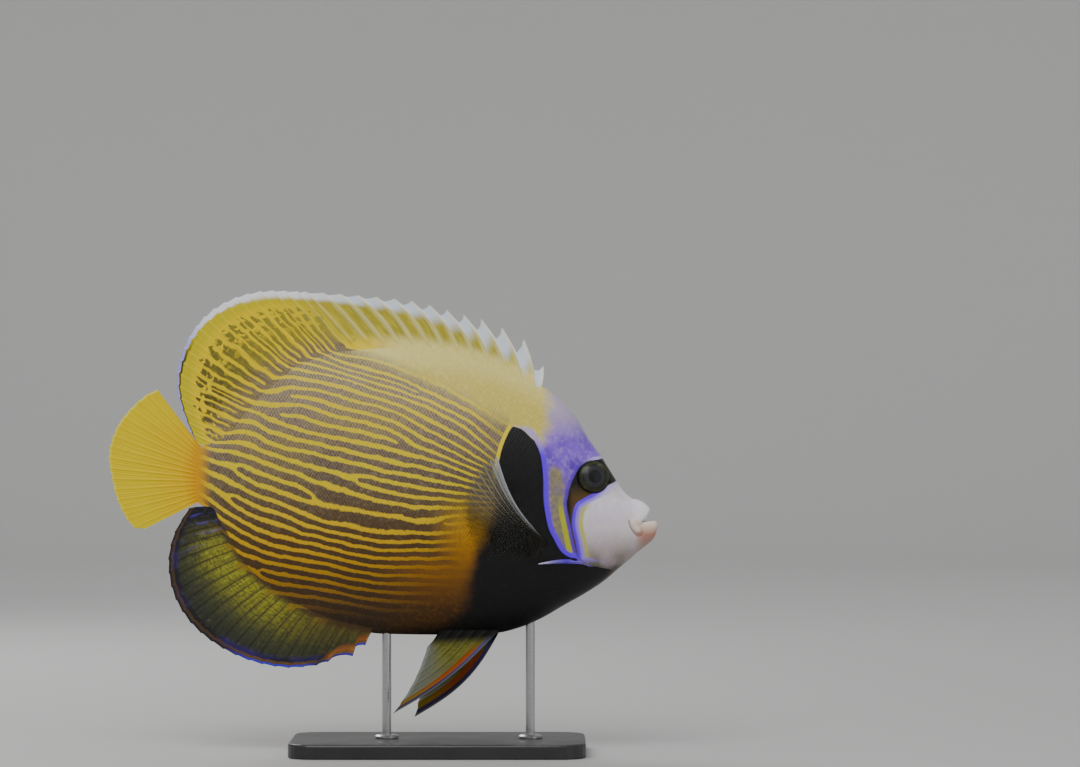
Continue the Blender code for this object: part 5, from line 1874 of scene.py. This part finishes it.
@dataclass
class Angelfish:
    """The whole fish: skin, fins, eyes and cheek spines, in the order they are made."""

    shape: FishShape = field(default_factory=FishShape)
    lines: Lines = field(default_factory=Lines)
    marks: Markings = field(default_factory=Markings)

    def skin(self) -> Piece:
        """The skin, which stands for the nodes of flesh.

        Returns:
            The piece.
        """
        made = Skin(self.shape, self.lines, self.marks, SkinFinish()).build()
        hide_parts("head", "trunk", "tail_stalk", "upper_jaw", "lower_jaw")
        return made

    def even_stations(self, line: Stations, start: float, stop: float, count: int) -> Array:
        """Stations evenly spaced along the back or belly line.

        Args:
            line: the line.
            start: first station.
            stop: last station.
            count: how many.

        Returns:
            The stations.
        """
        xs = np.linspace(start, stop, 200)
        walked = np.concatenate(([0], np.cumsum(np.hypot(np.diff(xs), np.diff(line.at(xs))))))
        return np.interp(np.linspace(0, walked[-1], count), walked, xs)

    def dorsal(self) -> Piece:
        """Dorsal fin: fourteen spines with a notched edge, then twenty soft rays in a tall round lobe.

        Returns:
            The piece.
        """
        spines, soft = 14, 20
        tips = np.vstack((
            ((87.2, 210.3), (76.5, 225.0), (64.5, 231.4)),
            smooth_path(((53.2, 236.2), (41.8, 238.9), (12.4, 246.2), (-42.4, 250.9)), spines - 3),
            smooth_path((
                (-46.5, 250.9), (-64.7, 251.2), (-81.0, 247.4), (-95.7, 238.6), (-106.0, 225.5),
                (-111.9, 209.0), (-111.4, 193.0), (-105.5, 176.0), (-101.6, 168.6),
            ), soft),
        ))
        stations = np.concatenate((
            (86.4, 82.0, 74.5), np.linspace(65.5, -15.0, spines - 3),
            self.even_stations(self.shape.back, -15.0, -97.5, soft + 1)[1:],
        ))
        count = spines + soft
        place = np.arange(count)
        notch = (16.5, 15.2, 14.5, 12, 10, 7.2, 4.6, 2.6, 1.0, 0.5)
        pale = (9, 13, 12, 8.5, 5.5, 4, 2.4, 1.3, 1.1, 0.2)
        made = MedianFin(
            "fin_dorsal", count, DorsalFinish("fin_dorsal"), rows=58, across=10, shape=self.shape,
            lines=self.lines, tips=tips,
            bow=np.interp(place, (0, 3, 9, 14, 20), (-0.04, -0.05, -0.05, 0.0, 0.03)),
            roots=self.shape.off_line(self.shape.back, stations, 0.0),
            notch=np.interp(place, (0, 1, 2, 3, 4, 6, 8, 10, 14, 33), notch),
            heights=np.interp(place, (0, 13, 14, 33), (0.6, 0.5, 0.24, 0.14)),
            girth=np.interp(place, (0, 13, 14, 33), (0.95, 0.85, 0.6, 0.5)),
            marks={
                "front": np.interp(place, (0, 10, 17), (1, 1, 0)),
                "nape": smooth_step(stations, -12, 12),
                "pale": np.interp(place, (0, 1, 3, 8, 13, 18, 23, 28, 32, 33), pale),
            },
        ).build()
        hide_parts("dorsal_fin")
        return made

    def anal(self) -> Piece:
        """Anal fin: three short spines and twenty soft rays.

        Returns:
            The piece.
        """
        spines, soft = 3, 20
        tips = np.vstack((
            np.array(((-9.6, 58.6), (-16.5, 52.6), (-29.9, 49.5))),
            smooth_path((
                (-36.0, 47.6), (-51.6, 46.2), (-70.7, 49.5), (-89.0, 57.8), (-104.5, 70.5), (-114.0, 86.5),
                (-116.8, 104.0), (-113.5, 119.5), (-105.5, 133.0),
            ), soft),
        ))
        stations = np.concatenate((
            np.linspace(-6.5, -20.0, spines),
            self.even_stations(self.shape.belly, -20.0, -97.5, soft + 1)[1:],
        ))
        count = spines + soft
        place = np.arange(count)
        made = MedianFin(
            "fin_anal", count, AnalFinish("fin_anal"), rows=52, bow=-0.03, shape=self.shape,
            lines=self.lines, tips=tips,
            roots=self.shape.off_line(self.shape.belly, stations, 0.0),
            notch=np.interp(place, (0, 1, 2, 3, 22), (5.0, 5.0, 2.0, 0.6, 0.5)),
            heights=np.interp(place, (0, 2, 3, 22), (0.55, 0.5, 0.24, 0.14)),
            girth=np.interp(place, (0, 2, 3, 22), (0.9, 0.85, 0.6, 0.5)),
            marks={
                "front": np.interp(place, (0, 1, 3), (1, 1, 0)),
                "rear": np.interp(place, (17, 20.5), (0, 1)),
                "glow": np.interp(place, (0, 1.5, 3, 4, 8, 10), (0.8, 0.5, 0.1, 1, 1, 0)),
            },
        ).build()
        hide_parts("anal_fin")
        return made

    def tail(self) -> Piece:
        """Tail fin: seventeen rays fanning to a gently rounded edge.

        Returns:
            The piece.
        """
        count = 17
        tips = smooth_path((
            (-122.8, 197.6), (-131.6, 192.7), (-143.5, 179.5), (-149.0, 164.5), (-148.0, 151.5),
            (-143.8, 135.1), (-136.0, 122.5), (-130.0, 121.6),
        ), count)
        made = MedianFin(
            "fin_tail", count, TailFinish("fin_tail"), rows=44, across=12, web_half=0.45, shape=self.shape,
            lines=self.lines, tips=tips, notch=np.full(count, 0.4),
            roots=smooth_path(((-98.0, 164.8), (-98.0, 137.6)), count),
            heights=np.full(count, 0.24), girth=np.full(count, 0.6), sunk=0.0, fillet_reach=9.0,
        ).build()
        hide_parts("tail_fin")
        return made

    def pectoral(self, side: Side) -> Piece:
        """Pectoral fin: a clear fan flared back and out from behind the gill cover.

        Args:
            side: side of the fish.

        Returns:
            The piece.
        """
        flare, inside = math.radians(19), 1.2
        root = ((83.4, 106.6), (89.4, 115.0))
        middle = np.mean(root, axis=0)
        surface = float(self.shape.half_width(middle[0], self.shape.level(*middle)))

        def out(flat: Array) -> Array:
            """Distance out of the middle plane: the body's surface and the flare from the root."""
            return surface - inside + np.linalg.norm(flat - middle, axis=-1) * math.tan(flare)

        name, rays = f"fin_pectoral_{side.word}", 16
        edge = ((55.4, 107.6), (47.5, 116.0), (43.6, 129.0), (44.8, 144.0), (52.4, 155.0), (62.4, 162.0))
        made = PairedFin(
            name, rays, PectoralFinish(name), rows=40, side=side, root_line=root, edge_line=edge, out=out,
            normal=(math.sin(flare), math.cos(flare), 0.0), root_half=0.9, edge_half=0.1, ridge=0.16,
            girth=0.4, bow=np.linspace(-0.03, 0.08, rays),
        ).build()
        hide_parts(f"pectoral_fin_{side.word}")
        return made

    def pelvic(self, side: Side) -> Piece:
        """Pelvic fin: a pointed fin led by its spine, held lower and further forward on the left.

        Args:
            side: side of the fish.

        Returns:
            The piece.
        """
        near = side is Side.RIGHT
        spread = math.radians(17 if near else 21)
        edge = (
            ((6.0, 22.7), (13.2, 32.8), (18.2, 42.0), (21.8, 50.5), (24.2, 58.0)) if near
            else ((16.4, 17.9), (19.4, 29.5), (22.6, 38.0), (26.0, 47.0), (29.6, 58.0))
        )
        start, stop, sunk, beside = 64.5, 31.0, 3.0, 4.2
        root = [(x, float(self.shape.belly.at(x)) + sunk) for x in np.linspace(start, stop, 6)]
        level = float(self.shape.belly.at(start))

        def out(flat: Array) -> Array:
            """Distance out of the middle plane: from the root, by the spread, as the fin goes down."""
            return beside + (level - flat[..., 1]) * math.tan(spread)

        name = f"fin_pelvic_{side.word}"
        made = PairedFin(
            name, 6, PelvicFinish(name), rows=48, across=14, side=side, root_line=root, edge_line=edge,
            out=out, normal=(0.0, math.cos(spread), math.sin(spread)), root_half=0.8, ridge=0.24,
            girth=0.7, bow=0.05 if near else 0.09,
        ).build()
        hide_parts(f"pelvic_fin_{side.word}")
        return made

    def build(self) -> list[Piece]:
        """Make every piece of the fish and set each to ride on the model's one body.

        Returns:
            The pieces.
        """
        pieces = [self.skin(), self.dorsal(), self.anal(), self.tail()]
        for side in Side:
            eye = Eye(self.shape, side).build()
            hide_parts(f"eye_{side.word}")
            spine = CheekSpine(self.shape, side).build()
            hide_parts(f"cheek_spine_{side.word}")
            pieces += [eye, spine, self.pectoral(side), self.pelvic(side)]
        for piece in pieces:
            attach(piece, "root")
            LOG.info("%s: %d faces", piece.name, len(piece.data.polygons))
        return pieces


def main() -> None:
    """Load the frame, build the fish and the studio, and write the sizes."""
    logging.basicConfig(level=logging.INFO, format="%(message)s")
    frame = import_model()
    Angelfish().build()
    StandFinish().dress(frame["nodes"])
    LOG.info("stand dressed")
    Studio().build()
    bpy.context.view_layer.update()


if __name__ == "__main__":
    main()
